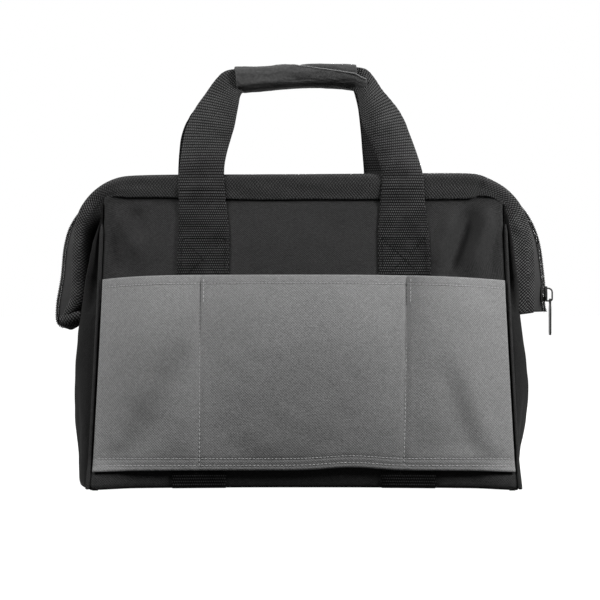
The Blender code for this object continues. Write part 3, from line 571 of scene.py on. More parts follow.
def stage():
    scene = bpy.context.scene
    scene.view_settings.view_transform = "Standard"

    def placed(name, data, place):
        made = bpy.data.objects.new(name, data)
        made.location = place
        scene.collection.objects.link(made)
        return made

    camera = bpy.data.cameras.new("camera")
    camera.sensor_width = SENSOR
    camera.lens = FOCAL * SENSOR / FRAME_PIXELS
    camera.clip_start, camera.clip_end = 0.05, 60
    scene.camera = placed("camera", camera, EYE)
    scene.camera.rotation_euler = (math.pi / 2, 0, 0)

    scene.world = bpy.data.worlds.new("world")
    scene.world.use_nodes = True
    sky = Nodes(scene.world.node_tree)
    sky.filled(sky.tree.nodes["Background"], (1, 1, 1, 1), sky.seen() * (1 - AMBIENT) + AMBIENT)

    for name, place, target, size, watts in LAMPS:
        data = bpy.data.lights.new(name, "AREA")
        data.shape = "DISK"
        data.size = size
        data.energy = watts
        lit = placed(name, data, place)
        lit.rotation_euler = (Vector(target) - Vector(place)).to_track_quat("-Z", "Y").to_euler()

    bm = bmesh.new()
    bmesh.ops.create_grid(bm, x_segments=1, y_segments=1, size=FLOOR_REACH)
    bmesh.ops.translate(bm, verts=bm.verts, vec=(0, 0, FLOOR_HEIGHT))
    look = Finish("floor_look", 0.9, specular=0.1)
    look.put(look.shader.inputs["Base Color"], look.ramp(look.cloud(30, 2.0), (0.0, 0.04), (1.0, 0.05)))
    glow = look.filled(look.node("ShaderNodeEmission"), (1, 1, 1, 1), look.seen())
    both = look.filled(look.node("ShaderNodeAddShader"), look.surface, glow)
    look.put(look.output.inputs["Surface"], both)
    finished("floor", bm, look.material)


stage()


# Shape of the body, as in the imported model

def panel_top(x):
    beyond = max(0.0, abs(x) - MOUTH_CORNER_X) / (HALF_LENGTH - MOUTH_CORNER_X)
    return PANEL_TOP - PANEL_TOP_DROP * beyond ** 2


def panel_depth(x, z):
    """How far a main panel stands off the middle plane, with the corners of the base turned out."""
    share = clamp(z / panel_top(x))
    corner = smooth((abs(x) - (HALF_LENGTH - FLARE_WIDTH)) / FLARE_WIDTH)
    flare = CORNER_FLARE * corner * smooth((FLARE_HEIGHT - z) / FLARE_HEIGHT)
    middle = flare + RIM_DEPTH + (BASE_DEPTH - RIM_DEPTH) * (1 - share ** MIDDLE_POWER)
    seam = flare + RIM_DEPTH + (BASE_CORNER_DEPTH - RIM_DEPTH) * (1 - share) ** SEAM_POWER
    return mix(middle, seam, clamp(abs(x) / HALF_LENGTH) ** ACROSS_POWER)


def seam_depth(z):
    return panel_depth(HALF_LENGTH, z)


def strap_x(corner, side):
    return corner * STRAP_OFFSET - (BACK_STRAP_SHIFT if side == BACK else 0.0)


# Folds of the main panels above the pocket, in millimetres
PANEL_FOLDS = {
    FRONT: metres([
        (-190, 270, -162, 220, 8.5, 4.8), (-169, 270, -160, 244, 7, -3), (-190, 240, -179, 205, 7.5, -3),
        (-154, 260, -148, 220, 10, 1.6), (189, 266, 162, 206, 11, 10.4), (170, 264, 143, 206, 10.5, -9.2),
        (150, 264, 129, 212, 9.5, 7.2), (193, 260, 186, 206, 7, -2), (30, 262, 12, 216, 14, -1.6),
        (-50, 268, -36, 226, 12, 1.4),
    ]),
    BACK: metres([
        (176, 268, 146, 214, 9, -3.6), (-172, 270, -150, 216, 9, -3.6), (192, 260, 176, 210, 8, 2.4),
        (-190, 264, -174, 214, 8, 2.4), (-20, 262, -40, 216, 14, -1.6), (40, 266, 30, 222, 12, 1.6),
    ]),
}


def panel_sculpt(side, x, z):
    """Soft hollows and folds of a main panel above the pocket, none at its seams."""
    held = smooth((HALF_LENGTH - abs(x)) / 0.014) * smooth((0.281 - z) / 0.02) * smooth((z - 0.150) / 0.03)
    soft = creases(x, z, PANEL_FOLDS[side]) + uneven(x, z, (0.0010, 0.045, side + 3), (0.0004, 0.014, side + 5))
    return held * soft + 0.0011 * bell(z, 0.275, 0.009)


def panel_point(side, x, z):
    return Vector((x, side * (panel_depth(x, z) + panel_sculpt(side, x, z)), z))


def held_edge(x):
    """Height of a main panel's upper edge inside the binding."""
    beyond = max(0.0, abs(x) - MOUTH_CORNER_X) / MOUTH_REACH
    return MOUTH_CENTRE + MOUTH_RISE * math.sqrt(1 - beyond ** 2) - HELD_BELOW * (1 + beyond)


# The turn of a main panel's lower edge under the bag: height and how far in
PANEL_TURN = ((0.0003, 0.010), (0.0003, 0.0045), (0.0006, 0.0018), (0.0018, 0.0004), (0.0036, 0.0))
PANEL_START = 0.0060


def body_panels():
    reach = HALF_LENGTH - SEAM_GAP
    xs = spread(-reach, reach, 150)
    for side, name in SIDES:
        grid = [[Vector((x, side * (panel_depth(x, FOOT) - back), z)) for x in xs] for z, back in PANEL_TURN]
        for share in spread(0, 1, 104):
            grid.append([panel_point(side, x, mix(PANEL_START, held_edge(x), share)) for x in xs])
        made = cloth(name + "_body_cloth", grid, PANEL_CLOTH, body_cloth, -side)
        dressed(made, (name + "_panel", name + "_upper_panel"), "bag_body", name + "_frame")


# End panels

BASE_BULGE = {LEFT: 0.0205, RIGHT: 0.0080}
PEAK_BULGE = {LEFT: 0.0282, RIGHT: 0.0242}
PEAK_HEIGHT, UPPER_BULGE = 0.105, 0.007
BULGE_POWER = {LEFT: 3.0, RIGHT: 2.2}
END_TURN = ((0.0003, 0.008), (0.0003, 0.0035), (0.0012, 0.0008))
END_FOLDS = metres([
    (-20, 20, -30, 120, 8, 1.6), (30, 30, 18, 130, 10, -2),
    (-70, 10, -46, 80, 9, -1.8), (76, 8, 60, 90, 8, 1.4),
])
END_COLUMNS = 40


def end_out(end, y, z):
    """Distance of an end panel's outer face from the middle of the bag."""
    away = (z - PEAK_HEIGHT) / PEAK_HEIGHT
    fall = away ** 2 * (0.56 if end == LEFT and z > PEAK_HEIGHT else 1)
    bulge = mix(BASE_BULGE[end] if z < PEAK_HEIGHT else UPPER_BULGE, PEAK_BULGE[end], 1 - fall)
    share = clamp(abs(y) / seam_depth(z))
    return HALF_LENGTH + SEAM_GAP + bulge * (1 - share ** BULGE_POWER[end])


def end_edge(z):
    return min(panel_depth(HALF_LENGTH - WALL, z), seam_depth(z)) - 0.0005


def end_point(end, side, share, z):
    """A point of the lower end panel: share 0 at the seam and 1 at the middle plane."""
    y = end_edge(z) * (1 - share)
    groove = -0.0024 * bell(share, 0.075, 0.026)
    soft = uneven(y * side, z, (0.0016, 0.05, end + 11), (0.0006, 0.018, end + 14))
    soft = (soft + creases(y * side, z, END_FOLDS)) * smooth(share / 0.15) * smooth(z / 0.02)
    fade = smooth((FOLD_FOOT + 0.002 - z) / 0.02)
    return Vector((end * (end_out(end, y, z) + groove + soft * fade), side * y, z))


# Mouth, in millimetres: place in the front view, depth of the outer edge, tilt of the band in degrees, width
MOUTH_LINE = [
    (-241.8, 163.2, 8, 50, 22.5), (-240.6, 166.8, 8.2, 54, 24), (-238.1, 172.2, 8.4, 58, 25),
    (-235, 178.8, 8.5, 62, 25), (-233.8, 187, 8.5, 66, 25), (-233.2, 200, 8.5, 66, 25),
    (-232.9, 214, 8.4, 66, 25), (-232.3, 230, 8.2, 66, 25.5), (-231.2, 245, 7.8, 57, 27),
    (-228.8, 258.5, 7.4, 42, 28), (-225, 269.8, 7.2, 24, 27), (-219.7, 278.4, 7.6, 10, 24.5),
    (-213.2, 285.8, 8.6, 3, 20.5), (-206, 291.6, 10.4, 1, 16), (-198.5, 296, 12, 1, 15.2),
    (-190, 299.6, 13, 0, 18), (-180, 302, 13, 0, 20.5), (-165, 303, 13, 0, 21.2), (-140, 303.6, 13, 0, 21.5),
    (-105, 303.8, 13, 0, 23), (-50, 304, 13, 0, 24.2), (0, 304.2, 13, 0, 24.5), (50, 304.6, 13, 0, 24.6),
    (100, 305, 13, 0, 25), (140, 305.2, 13, 0, 25.2), (164, 305, 13, 0, 24.6), (176, 303.8, 13, 0, 22.6),
    (185.1, 300.4, 12.9, 0, 19), (193, 296.6, 12.4, 2, 15.8), (200.5, 292.2, 11.4, 5, 14.4),
    (208, 286.2, 10, 9, 16), (215, 278.5, 9, 14, 19), (220.8, 269, 8.4, 20, 21.5), (225.2, 258.5, 8, 27, 23),
    (228.6, 247, 8, 34, 24), (230.7, 234, 8.2, 40, 25), (231.6, 220, 8.4, 44, 25), (231.8, 205, 8.5, 45, 25),
    (231.8, 190, 8.5, 45, 25), (231.8, 176, 8.4, 45, 25), (231.6, 170, 8.2, 44, 25),
    (231.2, 166.2, 8, 42, 24.5),
]

# The coil in the front view, in millimetres
COIL_LINE = metres([
    (-244, 151.2), (-248, 153.5), (-250.2, 159), (-250.2, 168), (-249.4, 178), (-247.8, 187), (-246.2, 196),
    (-245, 204), (-244.1, 214.2), (-243, 227), (-241, 238.1), (-237.6, 249.7), (-231.8, 260.5), (-224, 270.5),
    (-216, 278.5), (-206, 286.2), (-195, 292), (-180, 296.8), (-164, 298.5), (-120, 299.2), (0, 299.6),
    (120, 300.2), (164, 299.8), (180, 297.2), (195, 291.2), (207, 284), (216.5, 276.5), (224.4, 268),
    (231.2, 257), (236, 245.5), (238.7, 236), (240.8, 224), (242.1, 213), (243.3, 202), (244, 193),
    (243.9, 178), (244.4, 171.5), (245.8, 166.8),
])

MOUTH_STEPS = 320
mouth_line = curve([(x / 1000, z / 1000, depth / 1000, tilt, width / 1000)
                    for x, z, depth, tilt, width in MOUTH_LINE], 12, MOUTH_STEPS, 2)
coil_line = curve(COIL_LINE, 12, MOUTH_STEPS, 2)

# Degrees by which the band turns from its outer to its inner edge at an ear, and how much its lower end slants
EAR_CURL = {LEFT: 150, RIGHT: 26}
EAR_SLANT = {LEFT: 0.0150, RIGHT: -0.0050}


def line_direction(rows, i, reach):
    a, b = rows[max(i - reach, 0)], rows[min(i + reach, len(rows) - 1)]
    return Vector((b[0] - a[0], 0, b[1] - a[1])).normalized()


def band_stations(side):
    """For each step of the mouth: outer edge, ways across and out, tilt of the band at its outer edge, how
    much it turns by its inner edge, and its width."""
    made = []
    for i, (x, z, depth, tilt, width) in enumerate(mouth_line):
        along = line_direction(mouth_line, i, 2)
        normal = Vector((along.z, 0, -along.x))
        tilt = math.radians(tilt)
        turn = -math.radians(EAR_CURL[LEFT if x < 0 else RIGHT]) * smooth((0.288 - z) / 0.050)
        edge = Vector((x, side * depth, z)) + normal * (BAND_HALF * (1 - math.cos(tilt)))
        made.append((edge, normal, Vector((0, side, 0)), tilt, turn, width))
    return made


def band_place(station, inwards, off=0.0):
    """The point so far in from the band's outer edge and so far off its middle surface."""
    edge, across, out, tilt, turn, width = station
    bend = turn / width
    here = tilt + bend * inwards
    if abs(turn) < 1e-4:
        place = edge + (across * math.cos(tilt) + out * math.sin(tilt)) * inwards
    else:
        place = edge + across * ((math.sin(here) - math.sin(tilt)) / bend)
        place -= out * ((math.cos(here) - math.cos(tilt)) / bend)
    place += (out * math.cos(here) - across * math.sin(here)) * off
    slant = EAR_SLANT[LEFT if edge.x < 0 else RIGHT]
    place.z += slant * smooth((0.186 - edge.z) / 0.02) * clamp(inwards / width - 0.1)
    return place


# The tab under the left ear, one for each half of the mouth: pixel of the photograph and depth in
# millimetres, row by row
EAR_TAB = [
    [(61.0, 316.5, 10.0), (66.0, 314.6, 13.0), (72.0, 313.6, 15.0), (80.4, 311.5, 17.0)],
    [(60.0, 320.0, 12.5), (66.5, 318.8, 16.5), (73.0, 317.8, 18.5), (80.6, 316.0, 19.0)],
    [(61.0, 324.0, 11.0), (66.8, 324.4, 14.5), (72.6, 324.0, 16.0), (80.4, 320.6, 17.5)],
    [(64.0, 326.6, 6.0), (68.0, 327.8, 8.0), (72.0, 328.6, 8.5), (79.6, 324.4, 12.0)],
]


def band_row(station, i, side):
    """Across the binding: up its outer face, round the wire and down its inner face."""
    edge, width = station[0], station[5]
    lower = width + 0.0006 * noise.noise(Vector((i * 0.045, side * 5.0, 4.0)))
    thin = mix(0.0030, 0.0017, smooth((abs(edge.x) - 0.185) / 0.03))
    dent = -0.0011 * bell(edge.x, 0.1815, 0.0040) if side == FRONT else 0.0
    row = []
    for t in spread(0, 1, 12):
        wave = 0.0007 * math.sin(math.pi * t) * noise.noise(Vector((i * 0.06, side * 3.0, t * 2)))
        dip = dent * smooth((1 - t) / 0.4)
        row.append((mix(lower, BAND_HALF, t), mix(thin, BAND_HALF, smooth(t * 1.2)) + wave + dip))
    row += [(BAND_HALF - BAND_HALF * math.cos(a), BAND_HALF * math.sin(a))
            for a in (math.radians(d) for d in range(75, -91, -15))]
    row += [(mix(BAND_HALF, width, t), -mix(BAND_HALF, thin, t)) for t in spread(0, 1, 9)][1:]
    return [band_place(station, inwards, off) for inwards, off in row]


def bindings():
    for side, name in SIDES:
        stations = band_stations(side)
        body = name + "_frame"
        grid = [band_row(station, i, side) for i, station in enumerate(stations)]
        made = cloth(name + "_binding_web", grid, BINDING_CLOTH, binding_web, -side)
        dressed(made, (name + "_mouth_binding",), body)
        wire = [band_place(station, BAND_HALF) for station in stations[6:-6]]
        made = tube(name + "_wire", wire, WIRE_RADIUS, 8, wire_finish)
        dressed(made, (name + "_mouth_wire",), body)
        rows = [curve([at(across, down, side * depth / 1000) for across, down, depth in row], 6, 18)
                for row in EAR_TAB]
        grid = [[Vector(p) for p in curve(column, 6, 14)] for column in zip(*rows)]
        made = cloth(name + "_ear_tab", grid, BINDING_CLOTH, binding_web, side)
        dressed(made, (), "bag_body", body)


COIL_TURNS, COIL_STEPS = 400, 4400
COIL_HEIGHT, COIL_DEPTH = 0.00115, 0.0014


def zip_parts():
    for side, name in SIDES:
        grid = []
        for station, (x, z) in zip(band_stations(side), coil_line):
            edge, normal = station[:2]
            behind = -BAND_HALF - 0.0008
            leaves = mix(0.0055, 0.0004, clamp((abs(edge.x) - 0.19) / 0.03))
            control = [band_place(station, leaves + 0.0035 * k, behind) for k in (1, 0)]
            control = [band_place(station, 0.0085, behind), *control, Vector((x, side * 0.0010, z)) + normal * 0.0019]
            grid.append([Vector(p) for p in curve(control, 5, 9)])
        tape = cloth(name + "_tape_cloth", grid, TAPE_CLOTH, tape_cloth, -side)
        dressed(tape, (name + "_zip_tape",), name + "_frame")
        fine = evenly(coil_line, COIL_STEPS, 2)
        points = []
        for i, (x, z) in enumerate(fine):
            along = line_direction(fine, i, 6)
            over = Vector((-along.z, 0, along.x))
            angle = math.tau * COIL_TURNS * i / COIL_STEPS + (math.pi if side == BACK else 0)
            middle = Vector((x, side * (0.0004 + COIL_WIDTH / 2), z))
            points.append(middle + over * (COIL_HEIGHT * math.cos(angle))
                          + Vector((0, COIL_DEPTH * math.sin(angle), 0)))
        coil = tube(name + "_coil_wire", points, COIL_WIRE_RADIUS, 5, coil_plastic)
        dressed(coil, (name + "_zip_coil",), name + "_frame")


# Ridge of the folded end panels in the front view, in millimetres: height and distance from the middle
RIDGE = {
    LEFT: metres([
        (165, 224.7), (178, 222.8), (189.5, 219.5), (211.4, 214.5), (236.4, 210.5), (259.8, 203.2),
        (270, 200.8), (278.7, 199.6),
    ]),
    RIGHT: metres([
        (165, 220.2), (180, 216.5), (200, 213), (214, 211.2), (231, 209.6), (247, 207.8), (261, 205.4),
        (270, 202), (278.7, 199.8),
    ]),
}
# Depth of that ridge by height, as a share of the depth of the seam
RIDGE_DEPTH = {
    LEFT: [(0.165, 0.0), (0.178, 0.35), (0.190, 0.66), (0.204, 0.90), (0.222, 1.0), (0.250, 1.08), (0.275, 1.18)],
    RIGHT: [(0.165, 0.0), (0.178, 0.40), (0.190, 0.70), (0.204, 0.92), (0.222, 1.02), (0.250, 1.10), (0.275, 1.16)],
}
FOLD_TOP, FOLD_ROWS = 0.2755, 64
PIPING_OUT, PIPING_FOOT, PIPING_TOP, PIPING_STEPS = 0.2022, 0.0024, 0.2545, 90


def ear_lips(end, side):
    """Where an end panel enters the binding, from the ear's foot up to the corner of the main panel."""
    stations = band_stations(side)
    if end == RIGHT:
        stations.reverse()
    return [[band_place(station, station[5] + deeper) for deeper in (-0.003, 0.003)] for station in stations
            if station[0].z > 0.1675 and end * station[0].x > 0.2055]


def fold_rows(end, side):
    """The folded upper part of an end panel: each row from the seam over the ridge into the binding."""
    lips = ear_lips(end, side)
    base = [end_point(end, side, s, FOLD_FOOT) for s in spread(0, 1, END_COLUMNS)]
    made = [base]
    for k in spread(0, 1, FOLD_ROWS)[1:]:
        seam_z = mix(FOLD_FOOT, FOLD_TOP, k)
        start = Vector((end * (HALF_LENGTH + SEAM_GAP), side * end_edge(seam_z), seam_z))
        place = k * (len(lips) - 1)
        i = min(int(place), len(lips) - 2)
        inside, lip = [a.lerp(b, place - i) for a, b in zip(lips[i], lips[i + 1])]
        ridge_z = mix(seam_z, lip.z, 0.12)
        depth = end_edge(ridge_z) * looked_up(RIDGE_DEPTH[end], ridge_z)
        ridge = Vector((end * looked_up(RIDGE[end], ridge_z), side * depth, ridge_z))
        loose = smooth((1 - k) / 0.2)
        before = start.lerp(ridge, 0.62) + Vector((end * 0.0012, side * 0.0012, 0)) * loose
        tuck = start.lerp(ridge, 0.32) - Vector((end * 0.0010, side * 0.0026, 0)) * loose
        if end == LEFT:
            valley = Vector((mix(ridge.x, start.x, 0.50), side * mix(abs(lip.y), depth, 0.10),
                             mix(seam_z, lip.z, 0.4)))
        else:
            valley = ridge.lerp(lip, 0.5)
            valley.y = side * (abs(valley.y) - 0.0025)
            valley.x -= 0.0015
        behind = ridge.lerp(valley, 0.12) + Vector((0, -side * 0.0010, 0))
        line = curve((start, tuck, before, ridge, behind, valley, lip, inside), 10, END_COLUMNS)
        for p in line:
            p[0] = end * max(end * p[0], HALF_LENGTH + SEAM_GAP + 0.0021 * smooth((p[2] - 0.235) / 0.03))
        share = smooth(k / (0.34 if end == LEFT else 0.26))
        made.append([a.lerp(Vector(b), share) for a, b in zip(base, line)])
    return made


def end_panels():
    shares = spread(0, 1, END_COLUMNS)
    for end, end_name in ENDS:
        for side, name in SIDES:
            body = name + "_frame"
            both = "%s_%s_" % (name, end_name)
            grid = [[end_point(end, side, s, FOOT) - Vector((end * back, 0, FOOT - z)) for s in shares]
                    for z, back in END_TURN]
            grid += [[end_point(end, side, s, z) for s in shares] for z in spread(FOOT, FOLD_FOOT, 56)]
            # Painted shade: the end panels and their folds take the darker copy of the body cloth.
            made = cloth(both + "shaded_end_cloth", grid, END_CLOTH, shaded_end_cloth, -end * side)
            dressed(made, (end_name + "_end_panel",), "bag_body", body)
            made = cloth(both + "fold_cloth", fold_rows(end, side), FOLD_CLOTH, shaded_end_cloth, -end * side)
            dressed(made, (both + "gusset_fold",), "bag_body", body)
            line = [Vector((end * PIPING_OUT, side * (seam_depth(z) + 0.0008), z))
                    for z in spread(PIPING_FOOT, PIPING_TOP, PIPING_STEPS)]
            radii = [PIPING_RADIUS * math.sqrt(clamp(1 - (share - 0.97) / 0.03, 0.15, 1))
                     for share in spread(0, 1, PIPING_STEPS)]
            made = tube(both + "piping_cord", line, radii, 10, body_cloth)
            dressed(made, (both + "piping",), "bag_body", body)


def base_cloth():
    inside = 0.0032
    reach, depth = 0.1965, 0.104
    outline = [Vector((x, -panel_depth(x, FOOT) + inside, 0)) for x in spread(-reach, reach, 60)]
    outline += [Vector((end_out(RIGHT, y, FOOT) - 0.0030, y, 0)) for y in spread(-depth, depth, 40)]
    outline += [Vector((x, panel_depth(x, FOOT) - inside, 0)) for x in spread(reach, -reach, 60)]
    outline += [Vector((-end_out(LEFT, y, FOOT) + 0.0030, y, 0)) for y in spread(depth, -depth, 40)]
    bm = bmesh.new()
    uv = bm.loops.layers.uv.new("UVMap")
    skin(bm, [[bm.verts.new(p + Vector((0, 0, z))) for p in outline] for z in (0.0008, 0.0038)])
    for face in bm.faces:
        for loop in face.loops:
            loop[uv].uv = loop.vert.co.xy
    dressed(finished("base_cloth", bm, body_cloth, 30), ("bottom_panel",), "bag_body")


# Pockets, with their folds in millimetres

POCKET_FOLDS = {
    FRONT: metres([
        (-150, 100, -180, 38, 15, 1.8), (-112, 128, -160, 34, 19, -3.8), (148, 128, 178, 34, 14, 2.6),
        (134, 110, 160, 30, 12, -1.6), (172, 180, 160, 120, 16, 1.6), (-60, 60, -20, 30, 16, 0.6),
        (50, 70, 10, 35, 16, -0.6),
    ]),
    BACK: metres([
        (150, 150, 118, 50, 14, 2.2), (-184, 130, -130, 40, 13, 2.4), (190, 80, 150, 30, 11, -2),
        (-50, 90, -10, 40, 15, 1.4),
    ]),
}
TOP_ROW = 0.0082
HEM_ROWS = ((0.0105, 0.0034), (0.0042, 0.0039))  # height above the pocket's foot, pitch
TOP_PITCH, DIVIDER_PITCH, THREAD_INSET = 0.00345, 0.0041, 0.003


def pocket_top(x):
    share = clamp(abs(x) / POCKET_EDGE)
    return POCKET_TOP - (0.0043 * share ** 5 if x < 0 else 0.0052 * share ** 3)


def pocket_foot(x):
    return 0.0178 + 0.0028 * bell(x, 0.045, 0.032)


def divider_x(corner, z):
    """The sewn lines between the pockets, the right one a little aslant."""
    up = (z - POCKET_FOOT) / (POCKET_TOP - POCKET_FOOT)
    return mix(-0.0985, -0.1010, up) if corner == LEFT else mix(0.0945, 0.1010, up)


def pocket_out(side, x, z):
    """How far a pocket's outer face stands off the main panel."""
    left, right = divider_x(LEFT, z), divider_x(RIGHT, z)
    if x < left:
        share, room = clamp((x + POCKET_EDGE) / (left + POCKET_EDGE)) ** 1.6, 0.95
    elif x > right:
        share, room = 1 - (1 - clamp((x - right) / (POCKET_EDGE - right))) ** 1.6, 1.0
    else:
        share, room = (x - left) / (right - left), 0.9
    up = smooth((z - POCKET_FOOT) / (POCKET_TOP - POCKET_FOOT))
    bulge = POCKET_BULGE * room * up * abs(math.sin(math.pi * clamp(share))) ** 0.75
    held = smooth((POCKET_EDGE - abs(x)) / 0.012) * smooth((z - 0.024) / 0.02)
    soft = creases(x, z, POCKET_FOLDS[side]) + uneven(x, z, (0.0012, 0.06, side + 21), (0.0003, 0.016, side + 24))
    if side == FRONT and x < left:
        soft += 0.0070 * bell(x, -0.157, 0.033) * bell(z, 0.120, 0.066)
    away = min(abs(x - left), abs(x - right))
    hem = 0.0003 * smooth((z - (pocket_top(x) - 0.0085)) / 0.0012)
    hem -= 0.0008 * bell(away, 0, 0.0025) + 0.0002 * bell(z, pocket_top(x) - TOP_ROW, 0.0010)
    for height, pitch in HEM_ROWS:
        hem -= 0.0005 * bell(z, pocket_foot(x) + height, 0.0011)
    return 2 * LAYER_GAP + STRAP + 0.0016 + bulge + held * soft * smooth(away / 0.012) + hem


def pocket_point(side, x, z):
    return Vector((x, side * (panel_depth(x, z) + pocket_out(side, x, z)), z))


def pockets():
    xs = spread(-POCKET_EDGE, POCKET_EDGE, 190)
    edge = POCKET_EDGE - THREAD_INSET
    across = [(x, 0) for x in spread(-edge, edge, 8)]
    for side, name in SIDES:
        grid = [[pocket_point(side, x, mix(pocket_foot(x), pocket_top(x), share)) for x in xs]
                for share in spread(0, 1, 110)]
        made = cloth(name + "_pocket_cloth", grid, POCKET_CLOTH, pocket_cloth, -side)
        dressed(made, (name + "_pocket",), "bag_body")

        out = Vector((0, side, 0))
        bm = bmesh.new()

        def sewn(stops, pitch, place):
            stitch_line(bm, lambda u, v: pocket_point(side, *place(u, v)), stops, pitch, out)

        sewn(across, TOP_PITCH, lambda x, v: (x, pocket_top(x) - TOP_ROW + v))
        for height, pitch in HEM_ROWS:
            sewn(across, pitch, lambda x, v: (x, pocket_foot(x) + height + v))
        for corner in (LEFT, RIGHT):
            for stops in [(0, z) for z in spread(0.0205, 0.1995, 4)], [(0.0036, 0.1995), (0.0036, 0.176)]:
                sewn(stops, DIVIDER_PITCH, lambda u, z: (divider_x(corner, z) + u, z))
        dressed(finished(name + "_pocket_thread", bm, grey_thread), (), "bag_body")


# Straps and handles

# A handle from its left foot to its right foot: outer edge and inner edge as pixels of the photograph, then in
# millimetres the depth of each edge, how far the middle stands out, and the width folded behind the outer edge
HANDLE = {
    FRONT: [
        (178.9, 178, 223.6, 178, 18.8, 18.8, 1.2, 0), (180.2, 166, 224.2, 165, 18.6, 18.6, 2.6, 0),
        (181.8, 152, 226.8, 152, 17.6, 17.8, 3.6, 0), (184.2, 137, 230.5, 139, 15.2, 15.8, 4, 0.5),
        (188.2, 122, 234, 127, 14, 15, 3.6, 2), (195.5, 107, 236.4, 114.5, 12.8, 13.8, 3, 7),
        (205, 93.5, 238.4, 104, 11.4, 12.2, 2.4, 14.5), (214, 80.8, 240, 96, 10.2, 10.6, 1.6, 20),
        (222.7, 71.9, 243, 91.5, 9.2, 9.4, 0.8, 23), (232.3, 68.9, 249, 88.5, 8, 8, 0, 24),
        (250, 68.6, 262, 87, 7, 7, 0, 24), (280, 67.6, 284, 86, 6.8, 6.8, 0, 24),
        (310, 66.6, 310, 85.4, 6.8, 6.8, 0, 24), (338, 66.4, 336, 86, 7, 7, 0, 24),
        (356.7, 66.8, 350, 88.5, 8.5, 8.2, 1, 23), (367, 69.2, 357, 94, 10, 10.2, 2, 20),
        (374.8, 77.5, 358.8, 101, 11.2, 13, 3, 16), (382.5, 89, 359.5, 108.6, 12, 15.5, 4, 11),
        (391, 99, 361, 115.5, 12.4, 17.5, 5, 7), (399.5, 110, 362.8, 122.5, 12.6, 19, 5.5, 3.5),
        (405, 121, 365.6, 130, 12.8, 19.8, 5.5, 1.2), (408.6, 131, 369.2, 138, 13.2, 20.2, 5, 0),
        (413.2, 143, 373.6, 147.5, 13.8, 20.2, 4.5, 0), (417.4, 155, 377.6, 157.5, 14.6, 19.6, 4, 0),
        (421, 167, 381.6, 168.5, 17.6, 20, 2.6, 0), (423.2, 177, 382.4, 177, 18.8, 19, 1.2, 0),
    ],
    BACK: [
        (178.6, 178, 221, 178, 18.8, 18.8, 1.2, 0), (178.8, 166, 221.6, 165, 18.4, 18.4, 3, 0),
        (179.6, 152, 224, 152, 16, 16.4, 4.5, 0), (181.6, 137, 228, 139, 15.2, 15.8, 4, 0.5),
        (187.2, 121, 231.5, 127, 14, 15, 3.6, 2), (196.5, 107, 234.4, 114.5, 12.8, 13.8, 3, 7),
        (206, 94.5, 236.4, 104, 11.4, 12.2, 2.4, 14.5), (215, 82, 238, 96, 10.2, 10.6, 1.6, 20),
        (224, 73, 242, 91.5, 9.2, 9.4, 0.8, 23), (233.5, 70, 249, 88.5, 8, 8, 0, 24),
        (250, 69, 262, 87, 7, 7, 0, 24), (280, 68, 284, 86, 6.8, 6.8, 0, 24),
        (310, 67, 310, 85.4, 6.8, 6.8, 0, 24), (336, 67, 334, 85, 7, 7, 0, 24),
        (352, 67.5, 347, 85.5, 8.5, 8.2, 1, 23), (361, 71.2, 352.6, 89.5, 10, 10.2, 2, 20),
        (368.8, 80.5, 355.8, 99, 11.2, 12, 3, 16), (376.5, 92, 358, 109, 12, 13.5, 4, 11),
        (384, 103, 359.2, 118, 12.4, 14.5, 4.5, 8), (391.5, 114, 360.2, 126.5, 12.8, 15.2, 4.8, 4.5),
        (397, 125, 361, 134, 13.4, 16, 4.8, 2), (401.6, 136, 361.7, 142, 14, 16.4, 4.5, 0.8),
        (405.2, 147, 362.4, 151, 14.6, 16.6, 4, 0), (407.4, 158, 363.2, 160, 15.2, 16.8, 3.8, 0),
        (409, 168, 364, 169.5, 17.8, 18.2, 2.6, 0), (409.8, 177, 364.4, 177, 18.8, 18.8, 1.2, 0),
    ],
}

ACROSS = 26
FOLD_TURN = 0.0023
STRAP_FOOT, STRAP_FREE, HANDLE_START = 0.0165, 0.236, 0.286
BOX_FOOT, CROSS_FOOT, BOX_TOP, BOX_PITCH, BOX_INSET = 0.196, 0.198, 0.2400, 0.0034, 0.0035
BASE_WEB_TURN = [(z, STRAP) for z in spread(0.0164, 0.003, 10)] + [(0.0017, 0.0014), (0.0006, 0.0006)]


def ribbon_row(outer, inner, side, stands_out, folded):
    """Points across a strap, from its inner edge to its outer edge and on behind it where it is folded."""
    across = outer - inner
    direction = across.normalized()
    width = across.length - min(FOLD_TURN, folded)
    back = Vector((0, -side, 0))
    back = (back - direction * back.dot(direction)).normalized()
    turn = min(math.pi, folded / FOLD_TURN)
    front = STRAP_WIDTH - folded
    made = []
    for q in spread(0, STRAP_WIDTH, ACROSS):
        if q <= front:
            share = q / front
            made.append(inner + direction * width * share - back * (stands_out * 4 * share * (1 - share)))
            continue
        angle = min(turn, (q - front) / FOLD_TURN)
        rest = max(0.0, q - front - math.pi * FOLD_TURN)
        made.append(inner + direction * (width + FOLD_TURN * math.sin(angle) - rest)
                    + back * (FOLD_TURN * (1 - math.cos(angle))))
    return made


def strap_out(side, x, z):
    """Outer face of a strap on the main panel and, above it, on the binding."""
    on_panel = panel_depth(x, z) + panel_sculpt(side, x, z) + LAYER_GAP
    on_band = BAND_DEPTH_TOP + BAND_HALF + LAYER_GAP
    merge = 0.004
    blend = clamp(0.5 + 0.5 * (on_panel - on_band) / merge)
    return mix(on_band, on_panel, blend) + merge * blend * (1 - blend) + STRAP


